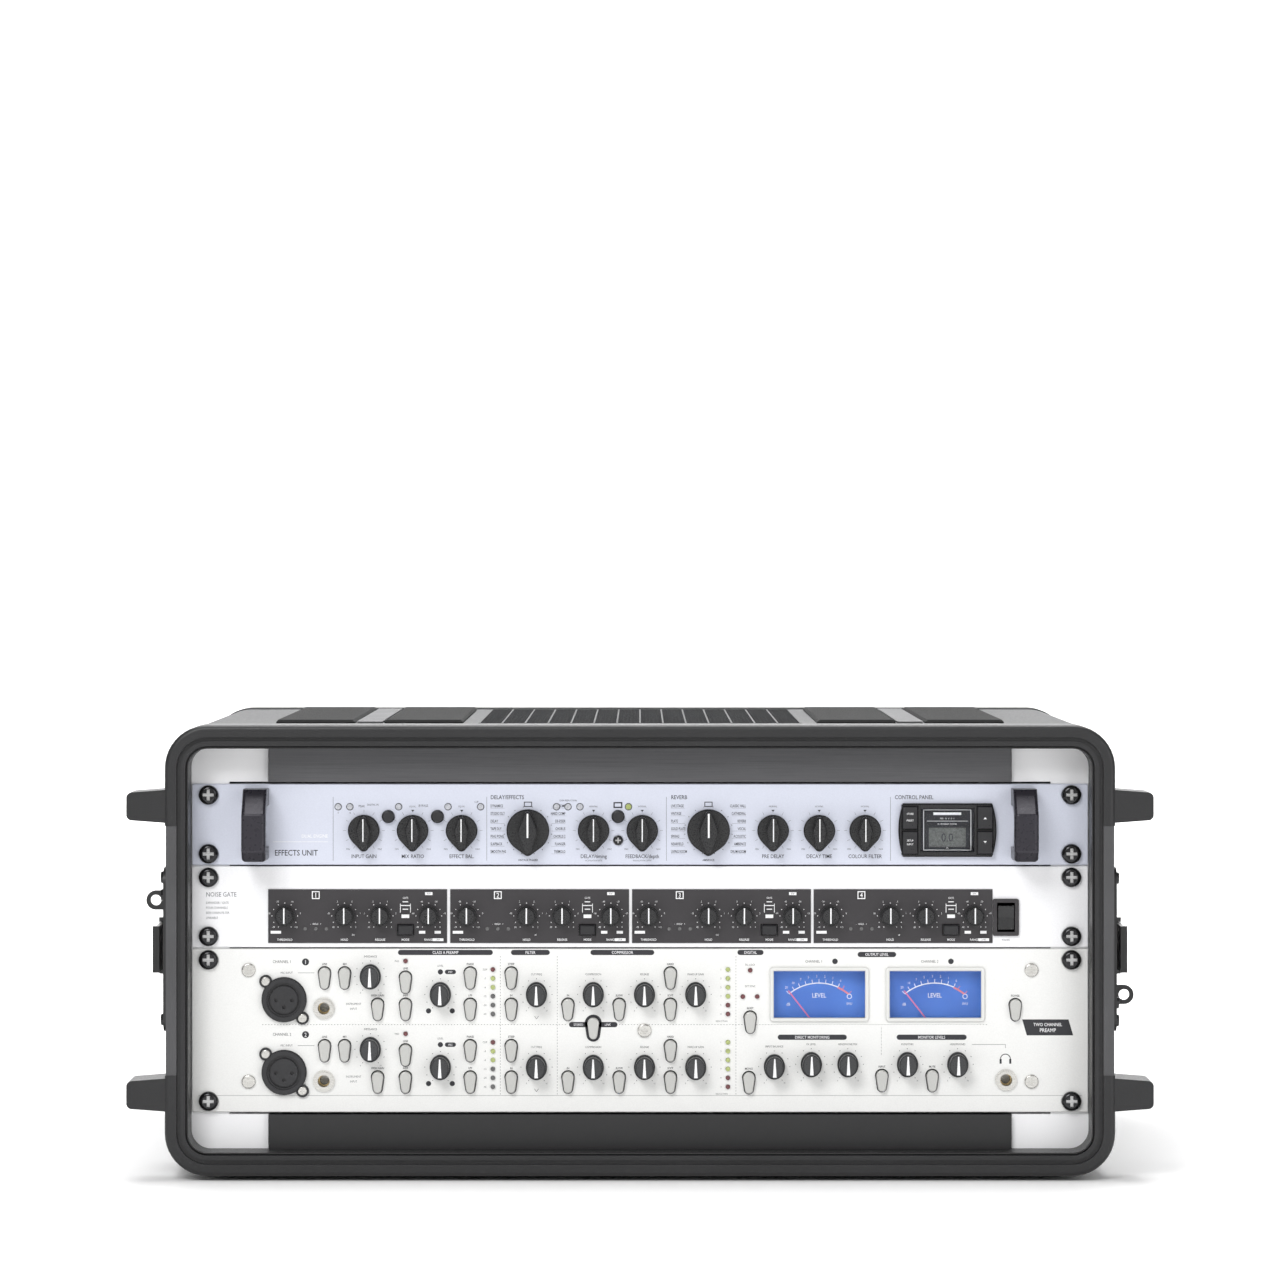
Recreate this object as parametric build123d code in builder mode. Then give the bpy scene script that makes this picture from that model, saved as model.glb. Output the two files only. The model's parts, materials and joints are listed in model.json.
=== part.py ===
"""A 4U portable equipment rack: a moulded case carrying an effects processor, a
four-channel gate and a two-channel preamplifier, with their knobs, keys and meters.

Frame: +X to the right seen from the front, +Y to the rear, +Z up. The origin is on the
resting surface, under the centre of the whole object. Millimetres."""

import os

from build123d import *

# ---------------------------------------------------------------- driving dimensions
# Rack standard
RACK_UNIT = 44.45
PANEL_W = 482.6
PANEL_GAP = 0.79  # a panel is this much shorter than its units
HOLE_X = 465.1 / 2
HOLE_OFFSETS = (6.35, 22.225, 38.1)  # rail holes above the foot of each unit
UNITS = 4

# Case
CASE_W, CASE_H, CASE_DEPTH = 509.0, 241.5, 400.0
CASE_R = 23.0
FOOT_H = 2.5
HANDLE_PROUD = 8.0  # how far the rack handles stand out of the case's mouth
FRONT = -(CASE_DEPTH + HANDLE_PROUD) / 2 + HANDLE_PROUD
BACK = FRONT + CASE_DEPTH
ZC = FOOT_H + CASE_H / 2
SHELL_INSET = 0.7
RIM_BAND = 6.4  # outer band of the end frames, and the shell's wall with its inset
FRAME_DEPTH = 36.0
CORNER_LEN = 54.0  # height of an end frame's corner mouldings on the sides
RECESS = 24.0  # panels sit this far inside the case's mouth

# Panels and rails
PANEL_T, RAIL_T = 2.0, 2.0
PANEL_FRONT = FRONT + RECESS
PANEL_BACK = PANEL_FRONT + PANEL_T
RAIL_INNER_X = 221.5
RAIL_OUTER_X = CASE_W / 2 - RIM_BAND
STACK_BOTTOM = ZC - UNITS * RACK_UNIT / 2
STACK_HALF = UNITS * RACK_UNIT / 2
BAR_GAP = 0.7
BAR_X = 200.0

# Panel feet, bottom to top: preamplifier 2U, gate 1U, effects processor 1U
PRE_Z = STACK_BOTTOM + PANEL_GAP / 2
GATE_Z = STACK_BOTTOM + 2 * RACK_UNIT + PANEL_GAP / 2
FX_Z = STACK_BOTTOM + 3 * RACK_UNIT + PANEL_GAP / 2

# Controls
KNOB_GAP = 0.6  # between a knob and its panel
FX_KNOB_R, FX_KNOB_REACH, FX_NOSE = 8.5, 11.2, 2.6
FX_DIAL_R, FX_DIAL_REACH = 11.5, 13.6
FX_SHAFT_R, PRE_SHAFT_R, GATE_SHAFT_R = 3.0, 2.5, 2.0
SHAFT_PLAY = 0.4
BUTTON_PLAY = 0.3
BOARD_FRONT = PANEL_BACK + 14.0
BOARD_T = 1.6
POT_DEPTH = 11.0
SHAFT_END = BOARD_FRONT - 1.0
SWITCH_FRONT = BOARD_FRONT - 6.0
BUTTON_END = SWITCH_FRONT - 2.3

# Effects processor: X and Z on its panel
FX_KNOB_Z = 18.5
FX_KNOBS = {
    "fx_gain_knob": -148.8,
    "fx_mix_knob": -122.5,
    "fx_balance_knob": -96.1,
    "fx_delay_knob": -25.0,
    "fx_feedback_knob": 1.2,
    "fx_predelay_knob": 71.7,
    "fx_decay_knob": 96.6,
    "fx_colour_knob": 121.3,
}
FX_DIALS = {"fx_effect_selector": -60.4, "fx_reverb_selector": 36.9}
FX_BUTTON_R, FX_BUTTON_Z = 3.3, 26.0
FX_BUTTON_X = (-135.7, -109.2, -11.8)
FX_LAMP_R, FX_LAMP_Z = 1.5, 31.3
FX_LAMP_X = (-162.7, -156.4, -130.1, -103.5, -85.9, -45.0, -38.8, -32.4, -6.2)
DISPLAY_X, DISPLAY_Z = 165.6, 18.8
DISPLAY_W, DISPLAY_H, DISPLAY_BULGE = 48.0, 28.8, 2.4
DISPLAY_PROUD = 3.5
WINDOW_W, WINDOW_H = 29.0, 23.5
KEY_W, KEY_H, KEY_X, KEY_PITCH = 8.4, 12.4, 20.2, 13.4
FX_HANDLE_X, FX_HANDLE_W, FX_HANDLE_H = 206.5, 13.0, 39.0

# Gate: one channel's layout, from the channel panel's left edge
GATE_CHANNEL_X = (-200.4, -102.3, -4.3, 93.6)
GATE_CHANNEL_W = 96.4
GATE_STRIP_Z, GATE_STRIP_H, GATE_STRIP_T = 2.3, 29.0, 0.6
GATE_KNOB_DX = (9.0, 41.2, 60.4, 86.6)
GATE_KNOB_Z, GATE_KNOB_R = 17.0, 5.6
GATE_BUTTON_DX, GATE_BUTTON_Z = 74.0, 9.4
GATE_BUTTON_W, GATE_BUTTON_H = 8.6, 5.6
GATE_LAMP_DX, GATE_LAMP_Z, GATE_LAMP_R = (20.0, 25.7, 31.4), 10.0, 1.0
ROCKER_X, ROCKER_Z = 197.2, 16.2
ROCKER_FRAME_W, ROCKER_FRAME_H = 14.0, 20.0
ROCKER_W, ROCKER_H = 8.4, 13.6

# Preamplifier: channel 1's layout, and how far below it channel 2's lies
CHANNEL_DROP = 39.2
PRE_KNOBS = {
    "impedance_knob": (-145.3, 73.1),
    "gain_knob": (-107.6, 63.5),
    "cut_knob": (-55.8, 63.5),
    "compression_knob": (-25.2, 63.5),
    "release_knob": (2.4, 63.5),
    "makeup_knob": (30.0, 63.5),
}
MONITOR_KNOBS = {
    "input_balance_knob": (72.4, 24.6),
    "return_level_knob": (92.3, 25.8),
    "headphone_mix_knob": (112.0, 25.8),
    "monitor_level_knob": (144.1, 25.8),
    "headphone_level_knob": (171.2, 25.8),
}
PRE_KNOB_RX, PRE_KNOB_RZ = 5.7, 6.8
DROP_HEAD, DROP_FOOT = (3.1, 2.7), (2.2, -3.6)  # radius, and height above the button's place
PRE_BUTTONS = (
    (-170.0, 72.3),
    (-159.2, 72.3),
    (-141.4, 55.4),
    (-126.4, 70.0),
    (-126.4, 55.4),
    (-91.5, 72.3),
    (-91.5, 55.4),
    (-69.4, 72.3),
    (-69.4, 55.4),
    (-38.8, 55.4),
    (-11.2, 55.4),
    (16.4, 72.3),
    (16.4, 55.4),
)
SINGLE_BUTTONS = ((-25.2, 45.3), (59.4, 48.5), (58.7, 15.9), (130.4, 17.0), (157.5, 17.0), (202.3, 55.2))
PRE_LAMP_R = 1.2
PRE_LAMP_X, PRE_LAMP_Z = (-79.3, 47.4), (76.9, 72.1, 67.3, 62.5, 57.7, 52.9)
PRE_SINGLE_LAMPS = ((59.4, 76.5), (55.4, 62.3), (63.2, 62.3), (-126.4, 81.5), (-126.4, 42.3))
XLR_X, XLR_R = -191.8, 12.2
XLR_Z = (60.7, 21.5)
JACKS = ((-170.4, 56.0), (-170.4, 16.8), (197.3, 17.4))
JACK_R, JACK_BORE_R, JACK_BORE = 5.9, 3.25, 28.0
METER_X, METER_Z = (96.7, 159.2), 63.5
METER_W, METER_H = 50.0, 26.0
NEEDLE_DROP, NEEDLE_LEN, NEEDLE_REST = 19.6, 27.0, 38.0

# Enclosures: width, sheet thickness, and depth behind the panel of each unit
BOX_W, BOX_T = 432.0, 1.2
FX_DEPTH, GATE_DEPTH, PRE_DEPTH = 190.0, 217.0, 250.0

SAME_PLACE = 0.01  # two edges closer than this are at one place

os.makedirs("parts", exist_ok=True)


# ---------------------------------------------------------------- helpers
def facing(y):
    """The plane at depth y whose normal looks out of the front; its axes are X and Z."""
    return Plane.XZ.offset(-y)


def save(builder, name):
    """Labels a finished piece and writes it as one node."""
    builder.part.label = name
    export_step(builder.part, f"parts/{name}.step")


def rounded(inset, corner=CASE_R):
    """A case outline, drawn in by inset all round."""
    RectangleRounded(CASE_W - 2 * inset, CASE_H - 2 * inset, corner - inset)


def teardrop(grow=0.0):
    """A preamplifier button's outline: round at the head, narrower at the foot."""
    for radius, up in (DROP_HEAD, DROP_FOOT):
        with Locations((0, up)):
            Circle(radius + grow)
    make_hull()


def both_channels(places):
    """Channel 1's places, and channel 2's below them."""
    return [(x, z - drop) for drop in (0, CHANNEL_DROP) for x, z in places]


PRE_BUTTON_PLACES = both_channels(PRE_BUTTONS) + list(SINGLE_BUTTONS)
PRE_KNOB_PLACES = {
    f"channel_{channel}_{name}": (x, z - drop)
    for channel, drop in ((1, 0), (2, CHANNEL_DROP))
    for name, (x, z) in PRE_KNOBS.items()
} | MONITOR_KNOBS
PRE_LAMP_PLACES = both_channels([(x, z) for x in PRE_LAMP_X for z in PRE_LAMP_Z]) + list(PRE_SINGLE_LAMPS)
GATE_KNOB_PLACES = [(x + dx, GATE_KNOB_Z) for x in GATE_CHANNEL_X for dx in GATE_KNOB_DX]
GATE_BUTTON_PLACES = [(x + GATE_BUTTON_DX, GATE_BUTTON_Z) for x in GATE_CHANNEL_X]
GATE_LAMP_PLACES = [(x + dx, GATE_LAMP_Z) for x in GATE_CHANNEL_X for dx in GATE_LAMP_DX]
KEY_PLACES = [
    (DISPLAY_X + side * KEY_X, DISPLAY_Z + end * KEY_PITCH / 2) for side in (-1, 1) for end in (-1, 1)
]


def lifted(places, foot):
    """Panel places, as places in the row frame's X and Z."""
    return [(x, z + foot) for x, z in places]


# ---------------------------------------------------------------- case
# The sleeve between the end frames, with a grid of low ribs in the middle of its top
TOP_Z = ZC + CASE_H / 2 - SHELL_INSET
RIB_PITCH, RIB_W, RIB_H = 12.5, 0.9, 0.4
RIBS_ACROSS, RIBS_ALONG = 15, 24
RIB_FIELD_W, RIB_FIELD_LEN = (RIBS_ACROSS - 1) * RIB_PITCH, (RIBS_ALONG - 1) * RIB_PITCH
with BuildPart() as case_shell:
    with BuildSketch(Plane.XZ.offset(-(FRONT + FRAME_DEPTH))):
        with Locations((0, ZC)):
            rounded(SHELL_INSET)
            RectangleRounded(
                CASE_W - 2 * RIM_BAND, CASE_H - 2 * RIM_BAND, CASE_R - RIM_BAND, mode=Mode.SUBTRACT
            )
    extrude(amount=-(CASE_DEPTH - 2 * FRAME_DEPTH))
    with BuildSketch(Plane.XY.offset(TOP_Z)):
        with Locations((0, (FRONT + BACK) / 2)):
            with GridLocations(RIB_PITCH, 0, RIBS_ACROSS, 1):
                Rectangle(RIB_W, RIB_FIELD_LEN)
            with GridLocations(0, RIB_PITCH, 1, RIBS_ALONG):
                Rectangle(RIB_FIELD_W, RIB_W)
    extrude(amount=RIB_H)
save(case_shell, "case_shell")

# The moulded frames round the case's two mouths: stepped rim, corner mouldings and lugs
RIM_STEPS = (  # inner edge of each step, and how far its face lies behind the mouth
    (6.4, 0.0),
    (8.6, 2.2),
    (11.2, 0.6),
    (12.0, 4.0),
    (12.6, 1.4),
)
RIM_INNER = RIM_STEPS[-1][0]
MOUTH_ROUNDING = 2.5
LUG_ROUNDING, LUG_SETBACK, LUG_OVERLAP = 3.0, 1.0, 2.0
LUG_REACH, LUG_ROOT_H, LUG_TIP_H, LUG_FROM_EDGE = 20.5, 18.0, 14.6, 43.5
SIDE_X = CASE_W / 2
LUG_Z = (ZC - CASE_H / 2 + LUG_FROM_EDGE, ZC + CASE_H / 2 - LUG_FROM_EDGE)


def end_frame(mouth, inward):
    """An end frame whose mouth is at y = mouth; inward is +1 if the case lies towards +Y."""
    with BuildPart() as frame:
        outer = 0.0
        for inner, back in RIM_STEPS:
            depth = FRAME_DEPTH if outer == 0.0 else RECESS + PANEL_T - back
            with BuildSketch(facing(mouth + inward * back)):
                with Locations((0, ZC)):
                    rounded(outer)
                    RectangleRounded(
                        CASE_W - 2 * inner, CASE_H - 2 * inner, CASE_R - inner, mode=Mode.SUBTRACT
                    )
            extrude(amount=-inward * depth)
            if outer == 0.0:
                mouth_face = frame.faces().sort_by(Axis.Y)[0 if inward > 0 else -1]
                fillet(mouth_face.outer_wire().edges(), MOUTH_ROUNDING)
            outer = inner
        with BuildSketch(facing(mouth)):
            with Locations((-SIDE_X, ZC), (SIDE_X, ZC)):
                Rectangle(2 * RIM_BAND, CASE_H - 2 * CORNER_LEN)
        extrude(amount=-inward * FRAME_DEPTH, mode=Mode.SUBTRACT)
        for side in (-1, 1):
            for z in LUG_Z:
                with BuildSketch(facing(mouth + inward * LUG_SETBACK)):
                    with BuildLine():
                        root, tip = side * (SIDE_X - LUG_OVERLAP), side * (SIDE_X + LUG_REACH)
                        Polyline(
                            (root, z - LUG_ROOT_H / 2),
                            (tip, z - LUG_TIP_H / 2),
                            (tip, z + LUG_TIP_H / 2),
                            (root, z + LUG_ROOT_H / 2),
                            close=True,
                        )
                    make_face()
                extrude(amount=-inward * (FRAME_DEPTH - 2 * LUG_SETBACK))
        along = frame.edges().filter_by(Axis.Y)
        lug_ends = [e for e in along if abs(abs(e.center().X) - SIDE_X - LUG_REACH) < SAME_PLACE]
        fillet(lug_ends, LUG_ROUNDING)
    return frame


front_frame, rear_frame = end_frame(FRONT, 1), end_frame(BACK, -1)
with BuildPart() as end_frames:
    add(front_frame.part)
    add(rear_frame.part)
save(end_frames, "end_frames")

# Straight extruded strips that fill the frames' sides between the corner mouldings
STRIP_FACE = 0.4
with BuildPart() as side_strips:
    for mouth, inward in ((FRONT, 1), (BACK, -1)):
        with BuildSketch(facing(mouth + inward * STRIP_FACE)):
            for side in (-1, 1):
                width = RIM_BAND - SHELL_INSET
                with Locations((side * (RAIL_OUTER_X + width / 2), ZC)):
                    Rectangle(width, CASE_H - 2 * CORNER_LEN)
        extrude(amount=-inward * (FRAME_DEPTH - STRIP_FACE))
save(side_strips, "side_strips")

# Rubber pads: four long ones let into the top and four feet below
PAD_W, PAD_LEN, PAD_X = 43.0, 280.0, (118.0, 177.0)
PAD_PLACES = [(side * x, (FRONT + BACK) / 2) for side in (-1, 1) for x in PAD_X]
PAD_PROUD, PAD_CORNER, PAD_CHAMFER = 2.0, 3.0, 1.2
with BuildPart() as rubber_pads:
    with BuildSketch(Plane.XY.offset(TOP_Z)):
        with Locations(*PAD_PLACES):
            RectangleRounded(PAD_W, PAD_LEN, PAD_CORNER)
    extrude(amount=PAD_PROUD)
    with BuildSketch(Plane.XY):
        with Locations(*PAD_PLACES):
            RectangleRounded(PAD_W, PAD_LEN, PAD_CORNER)
    extrude(amount=FOOT_H + SHELL_INSET)
    chamfer(rubber_pads.edges().group_by(Axis.Z)[-1], PAD_CHAMFER)
save(rubber_pads, "rubber_pads")


# ---------------------------------------------------------------- rack rails and bars
RAIL_CLEARANCE = 2.7  # between a rail's two ends and the case, both together
RAIL_H = CASE_H - 2 * RIM_BAND - RAIL_CLEARANCE
RAIL_CORNER = 16.0
RAIL_LEG = 46.0
RAIL_HOLE_R = 3.1
ARM_BOTTOM = STACK_HALF + BAR_GAP
HOLE_ROWS = [STACK_BOTTOM + unit * RACK_UNIT + up for unit in range(UNITS) for up in HOLE_OFFSETS]


def rails(face, inward):
    """A left and a right rail whose outer faces are at y = face, with legs along the walls."""
    with BuildPart() as pair:
        for side in (-1, 1):
            with BuildSketch(facing(face)):
                with Locations((0, ZC)):
                    RectangleRounded(2 * RAIL_OUTER_X, RAIL_H, RAIL_CORNER)
                    with Locations((-side * BAR_X, 0)):
                        Rectangle(4 * BAR_X + 1.0, RAIL_H, mode=Mode.SUBTRACT)
                    with Locations((-side * RAIL_INNER_X, 0)):
                        Rectangle(4 * RAIL_INNER_X, 2 * ARM_BOTTOM, mode=Mode.SUBTRACT)
                with Locations(*[(side * HOLE_X, z) for z in HOLE_ROWS]):
                    Circle(RAIL_HOLE_R, mode=Mode.SUBTRACT)
            extrude(amount=-inward * RAIL_T)
            with BuildSketch(facing(face + inward * RAIL_T)):
                with Locations((side * (RAIL_OUTER_X - RAIL_T / 2), ZC)):
                    Rectangle(RAIL_T, RAIL_H - 2 * RAIL_CORNER)
            extrude(amount=-inward * RAIL_LEG)
    return pair


front_rails = rails(PANEL_BACK, 1)
save(front_rails, "front_rails")
rear_rails = rails(BACK - RECESS - PANEL_T, -1)
save(rear_rails, "rear_rails")

# Bars across the top and foot of both mouths, between the rails' arms
BAR_TOP = CASE_H / 2 - RIM_INNER
BAR_PROUD, BAR_WALL, BAR_LIP = 4.0, 2.0, 14.0
with BuildPart() as cross_bars:
    for mouth, inward in ((FRONT, 1), (BACK, -1)):
        face = mouth + inward * (RECESS + PANEL_T - BAR_PROUD)
        for end in (-1, 1):
            height = BAR_TOP - ARM_BOTTOM
            middle = ZC + end * (ARM_BOTTOM + height / 2)
            with BuildSketch(facing(face)):
                with Locations((0, middle)):
                    Rectangle(2 * BAR_X, height)
            extrude(amount=-inward * BAR_LIP)
            with BuildSketch(facing(face + inward * BAR_WALL)):
                with Locations((0, middle)):
                    Rectangle(2 * BAR_X - 2 * BAR_WALL, height - 2 * BAR_WALL)
            extrude(amount=-inward * BAR_LIP, mode=Mode.SUBTRACT)
save(cross_bars, "cross_bars")

# The pressed steel tray that stiffens the case's floor
TRAY_W, TRAY_LEN, TRAY_H, TRAY_WALL = 372.0, 290.0, 9.0, 2.0
TRAY_Z = ZC - CASE_H / 2 + RIM_BAND
TRAY_CORNER, TRAY_CHAMFER = 12.0, 4.0
TRAY_CHANNELS, CHANNEL_PITCH, CHANNEL_W, CHANNEL_LEN = 4, 66.0, 40.0, 330.0
with BuildPart() as floor_tray:
    with BuildSketch(Plane.XY.offset(TRAY_Z)):
        with Locations((0, (FRONT + BACK) / 2)):
            RectangleRounded(TRAY_W, TRAY_LEN, TRAY_CORNER)
    extrude(amount=TRAY_H)
    chamfer(floor_tray.edges().group_by(Axis.Z)[-1], TRAY_CHAMFER)
    with BuildSketch(Plane.XY.offset(TRAY_Z + TRAY_H)):
        with Locations((0, (FRONT + BACK) / 2)):
            with GridLocations(0, CHANNEL_PITCH, 1, TRAY_CHANNELS):
                SlotOverall(CHANNEL_LEN, CHANNEL_W)
    extrude(amount=-(TRAY_H - TRAY_WALL), mode=Mode.SUBTRACT)
save(floor_tray, "floor_tray")


# ---------------------------------------------------------------- latches
SHELL_X = CASE_W / 2 - SHELL_INSET
PLATE_T, PLATE_LEN, PLATE_H = 2.0, 48.0, 88.0
PLATE_Y = FRONT + 31.0
LEVER_H, LEVER_T, LEVER_LEN = 25.0, 3.6, 33.0
HUB_R, PIN_R, PIN_PLAY = 2.5, 1.2, 0.06
PIN_X = SHELL_X + PLATE_T + HUB_R + 0.3
PIN_Y = PLATE_Y + 15.0
PLATE_CORNER = 8.0
EAR_T, EAR_GAP = 2.5, 0.3
EAR_WEB, EAR_WEB_X = 2.8, 1.3  # the web from plate to ear, and its middle above the plate
EYE_R, EYE_HOLE_R, EYE_T, EYE_DZ = 5.2, 2.9, 3.0, 25.5
EYE_X = SHELL_X + PLATE_T + 5.6
EYE_WEB, EYE_WEB_X = 6.4, 2.6  # the web from plate to eye, and how far its middle is inside the eye's
LEVER_OUT, LEVER_WAIST = 0.7, 1.4  # the arm's offset outwards, and how much thinner it is than its end
LEVER_END, LEVER_END_OUT, LEVER_END_BACK = 4.0, 0.6, 2.0


def latch_plate(side):
    """The plate on one side wall, with the lever's ears and pin and a padlock eye."""
    wall = Plane(origin=(side * SHELL_X, PLATE_Y, ZC), x_dir=(0, side, 0), z_dir=(side, 0, 0))
    with BuildPart() as plate:
        with BuildSketch(wall):
            RectangleRounded(PLATE_LEN, PLATE_H, PLATE_CORNER)
        extrude(amount=PLATE_T)
        ear_z = LEVER_H / 2 + EAR_GAP
        for end, foot in ((1, ZC + ear_z), (-1, ZC - ear_z - EAR_T)):
            with BuildSketch(Plane.XY.offset(foot)):
                with Locations((side * PIN_X, PIN_Y)):
                    Circle(HUB_R)
                with Locations((side * (SHELL_X + PLATE_T + EAR_WEB_X), PIN_Y)):
                    Rectangle(EAR_WEB, 2 * HUB_R)
            extrude(amount=EAR_T)
        with BuildSketch(Plane.XY.offset(ZC - ear_z)):
            with Locations((side * PIN_X, PIN_Y)):
                Circle(PIN_R)
        extrude(amount=2 * ear_z)
        eye_z = ZC - side * EYE_DZ
        with BuildSketch(facing(PLATE_Y - EYE_T / 2)):
            with Locations((side * EYE_X, eye_z)):
                Circle(EYE_R)
            with Locations((side * (EYE_X - EYE_WEB_X), eye_z)):
                Rectangle(EYE_WEB, 2 * EYE_R)
            with Locations((side * EYE_X, eye_z)):
                Circle(EYE_HOLE_R, mode=Mode.SUBTRACT)
        extrude(amount=-EYE_T)
    return plate


with BuildPart() as latch_plates:
    for side in (-1, 1):
        add(latch_plate(side).part)
save(latch_plates, "latch_plates")


def latch_lever(side):
    """An over-centre lever lying along its plate, flared where fingers pull it."""
    root = side * PIN_X
    arm = root + side * LEVER_OUT
    with BuildPart() as lever:
        with BuildSketch(Plane.XY.offset(ZC - LEVER_H / 2)):
            with Locations((root, PIN_Y)):
                Circle(HUB_R)
            with Locations((arm, PIN_Y - LEVER_LEN / 2)):
                Rectangle(LEVER_T - LEVER_WAIST, LEVER_LEN)
            with Locations((root, PIN_Y)):
                Circle(PIN_R + PIN_PLAY, mode=Mode.SUBTRACT)
        extrude(amount=LEVER_H)
        tip_y = PIN_Y - LEVER_LEN + LEVER_END_BACK
        tip = Plane(origin=(arm, tip_y, ZC), x_dir=(1, 0, 0), z_dir=(0, -1, 0))
        with BuildSketch(tip):
            with Locations((side * LEVER_END_OUT, 0)):
                Rectangle(LEVER_T, LEVER_H)
        extrude(amount=LEVER_END)
    return lever


left_latch, right_latch = latch_lever(-1), latch_lever(1)
save(left_latch, "left_latch")
save(right_latch, "right_latch")


# ---------------------------------------------------------------- faceplates
SLOT_LEN, SLOT_H = 10.3, 6.8
PANEL_CHAMFER = 0.4
SCREW_IN = HOLE_OFFSETS[0] - PANEL_GAP / 2  # from a panel's edge to its screws
LAMP_PLAY = 0.1
KEY_OPENING_H = 2 * KEY_H + 2.0
ROCKER_OPENING = 2.4  # how much larger the panel's opening is than the rocker
XLR_LAP, JACK_LAP = 1.0, 0.6  # how far a socket's flange covers the panel round its hole


def faceplate(foot, units, openings):
    """A rack panel on the rails; openings draws, in the panel's own X and Z, what is cut."""
    height = units * RACK_UNIT - PANEL_GAP
    with BuildPart() as panel:
        with BuildSketch(facing(PANEL_BACK)):
            with Locations((0, foot + height / 2)):
                Rectangle(PANEL_W, height)
            rows = (foot + SCREW_IN, foot + height - SCREW_IN)
            with Locations(*[(side * HOLE_X, z) for side in (-1, 1) for z in rows]):
                SlotOverall(SLOT_LEN, SLOT_H, mode=Mode.SUBTRACT)
            with Locations((0, foot)):
                openings()
        extrude(amount=PANEL_T)
        chamfer(panel.edges().filter_by(Axis.X).group_by(Axis.Y)[0], PANEL_CHAMFER)
    return panel


def fx_openings():
    """Shaft, button, lamp and display openings in the effects processor's panel."""
    with Locations(*[(x, FX_KNOB_Z) for x in (*FX_KNOBS.values(), *FX_DIALS.values())]):
        Circle(FX_SHAFT_R + SHAFT_PLAY, mode=Mode.SUBTRACT)
    with Locations(*[(x, FX_BUTTON_Z) for x in FX_BUTTON_X]):
        Circle(FX_BUTTON_R + BUTTON_PLAY, mode=Mode.SUBTRACT)
    with Locations(*[(x, FX_LAMP_Z) for x in FX_LAMP_X]):
        Circle(FX_LAMP_R + LAMP_PLAY, mode=Mode.SUBTRACT)
    with Locations((DISPLAY_X, DISPLAY_Z)):
        Rectangle(2 * KEY_X + KEY_W + 2 * BUTTON_PLAY, KEY_OPENING_H, mode=Mode.SUBTRACT)


def gate_openings():
    """Shaft, button and rocker openings in the gate's panel."""
    with Locations(*GATE_KNOB_PLACES):
        Circle(GATE_SHAFT_R + SHAFT_PLAY, mode=Mode.SUBTRACT)
    with Locations(*GATE_BUTTON_PLACES):
        Rectangle(GATE_BUTTON_W + 2 * BUTTON_PLAY, GATE_BUTTON_H + 2 * BUTTON_PLAY, mode=Mode.SUBTRACT)
    with Locations((ROCKER_X, ROCKER_Z)):
        Rectangle(ROCKER_W + ROCKER_OPENING, ROCKER_H + ROCKER_OPENING, mode=Mode.SUBTRACT)


def pre_openings():
    """Shaft, button, lamp, socket and meter openings in the preamplifier's panel."""
    with Locations(*PRE_KNOB_PLACES.values()):
        Circle(PRE_SHAFT_R + SHAFT_PLAY, mode=Mode.SUBTRACT)
    with BuildSketch(mode=Mode.PRIVATE) as hole:
        teardrop(BUTTON_PLAY)
    with Locations(*PRE_BUTTON_PLACES):
        add(hole.sketch, mode=Mode.SUBTRACT)
    with Locations(*PRE_LAMP_PLACES):
        Circle(PRE_LAMP_R + LAMP_PLAY, mode=Mode.SUBTRACT)
    with Locations(*[(XLR_X, z) for z in XLR_Z]):
        Circle(XLR_R - XLR_LAP, mode=Mode.SUBTRACT)
    with Locations(*JACKS):
        Circle(JACK_R - JACK_LAP, mode=Mode.SUBTRACT)
    with Locations(*[(x, METER_Z) for x in METER_X]):
        Rectangle(METER_W, METER_H, mode=Mode.SUBTRACT)


fx_faceplate = faceplate(FX_Z, 1, fx_openings)
save(fx_faceplate, "fx_faceplate")
gate_faceplate = faceplate(GATE_Z, 1, gate_openings)
save(gate_faceplate, "gate_faceplate")
preamp_faceplate = faceplate(PRE_Z, 2, pre_openings)
save(preamp_faceplate, "preamp_faceplate")


# ---------------------------------------------------------------- fasteners
RACK_HEAD_R, RACK_HEAD_H = 5.3, 3.4
RECESS_ARM, RECESS_DEPTH = 0.28, 0.5  # of a recess's size, and of a head's height
FX_HEAD_R = 2.85
RACK_SHANK_R, RACK_SHANK = 2.9, 14.0
SMALL_HEAD_R, SMALL_HEAD_H = 3.8, 1.4
PANEL_FEET = ((PRE_Z, 2), (GATE_Z, 1), (FX_Z, 1))
RACK_SCREW_PLACES = [
    (side * HOLE_X, z)
    for side in (-1, 1)
    for foot, units in PANEL_FEET
    for z in (foot + SCREW_IN, foot + units * RACK_UNIT - PANEL_GAP - SCREW_IN)
]
PANEL_SCREW_PLACES = lifted(
    [(-211.0, 76.6), (-211.0, 16.5), (211.0, 76.6), (211.0, 16.5), (2.4, 44.0)], PRE_Z
)
FX_SCREW_PLACES = lifted([(-11.8, 13.2)], FX_Z)
XLR_EAR_AT, XLR_EAR_R, XLR_PLATE_T = 9.9, 3.5, 1.6
XLR_SCREW_PLACES = lifted(
    [(XLR_X + side * XLR_EAR_AT, z - side * XLR_EAR_AT) for side in (-1, 1) for z in XLR_Z], PRE_Z
)
XLR_SCREW_R, XLR_SCREW_H = 2.4, 1.0
RIVET_R, RIVET_H, RIVET_TAPER = 3.6, 1.8, 20
RIVET_PLACES = [(along, up) for along in (-14.0, 14.0) for up in (-38.0, 29.0, 38.5)]


def cross_recess(size):
    """A Phillips recess, drawn as a cross."""
    Rectangle(size, size * RECESS_ARM)
    Rectangle(size * RECESS_ARM, size)


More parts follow.
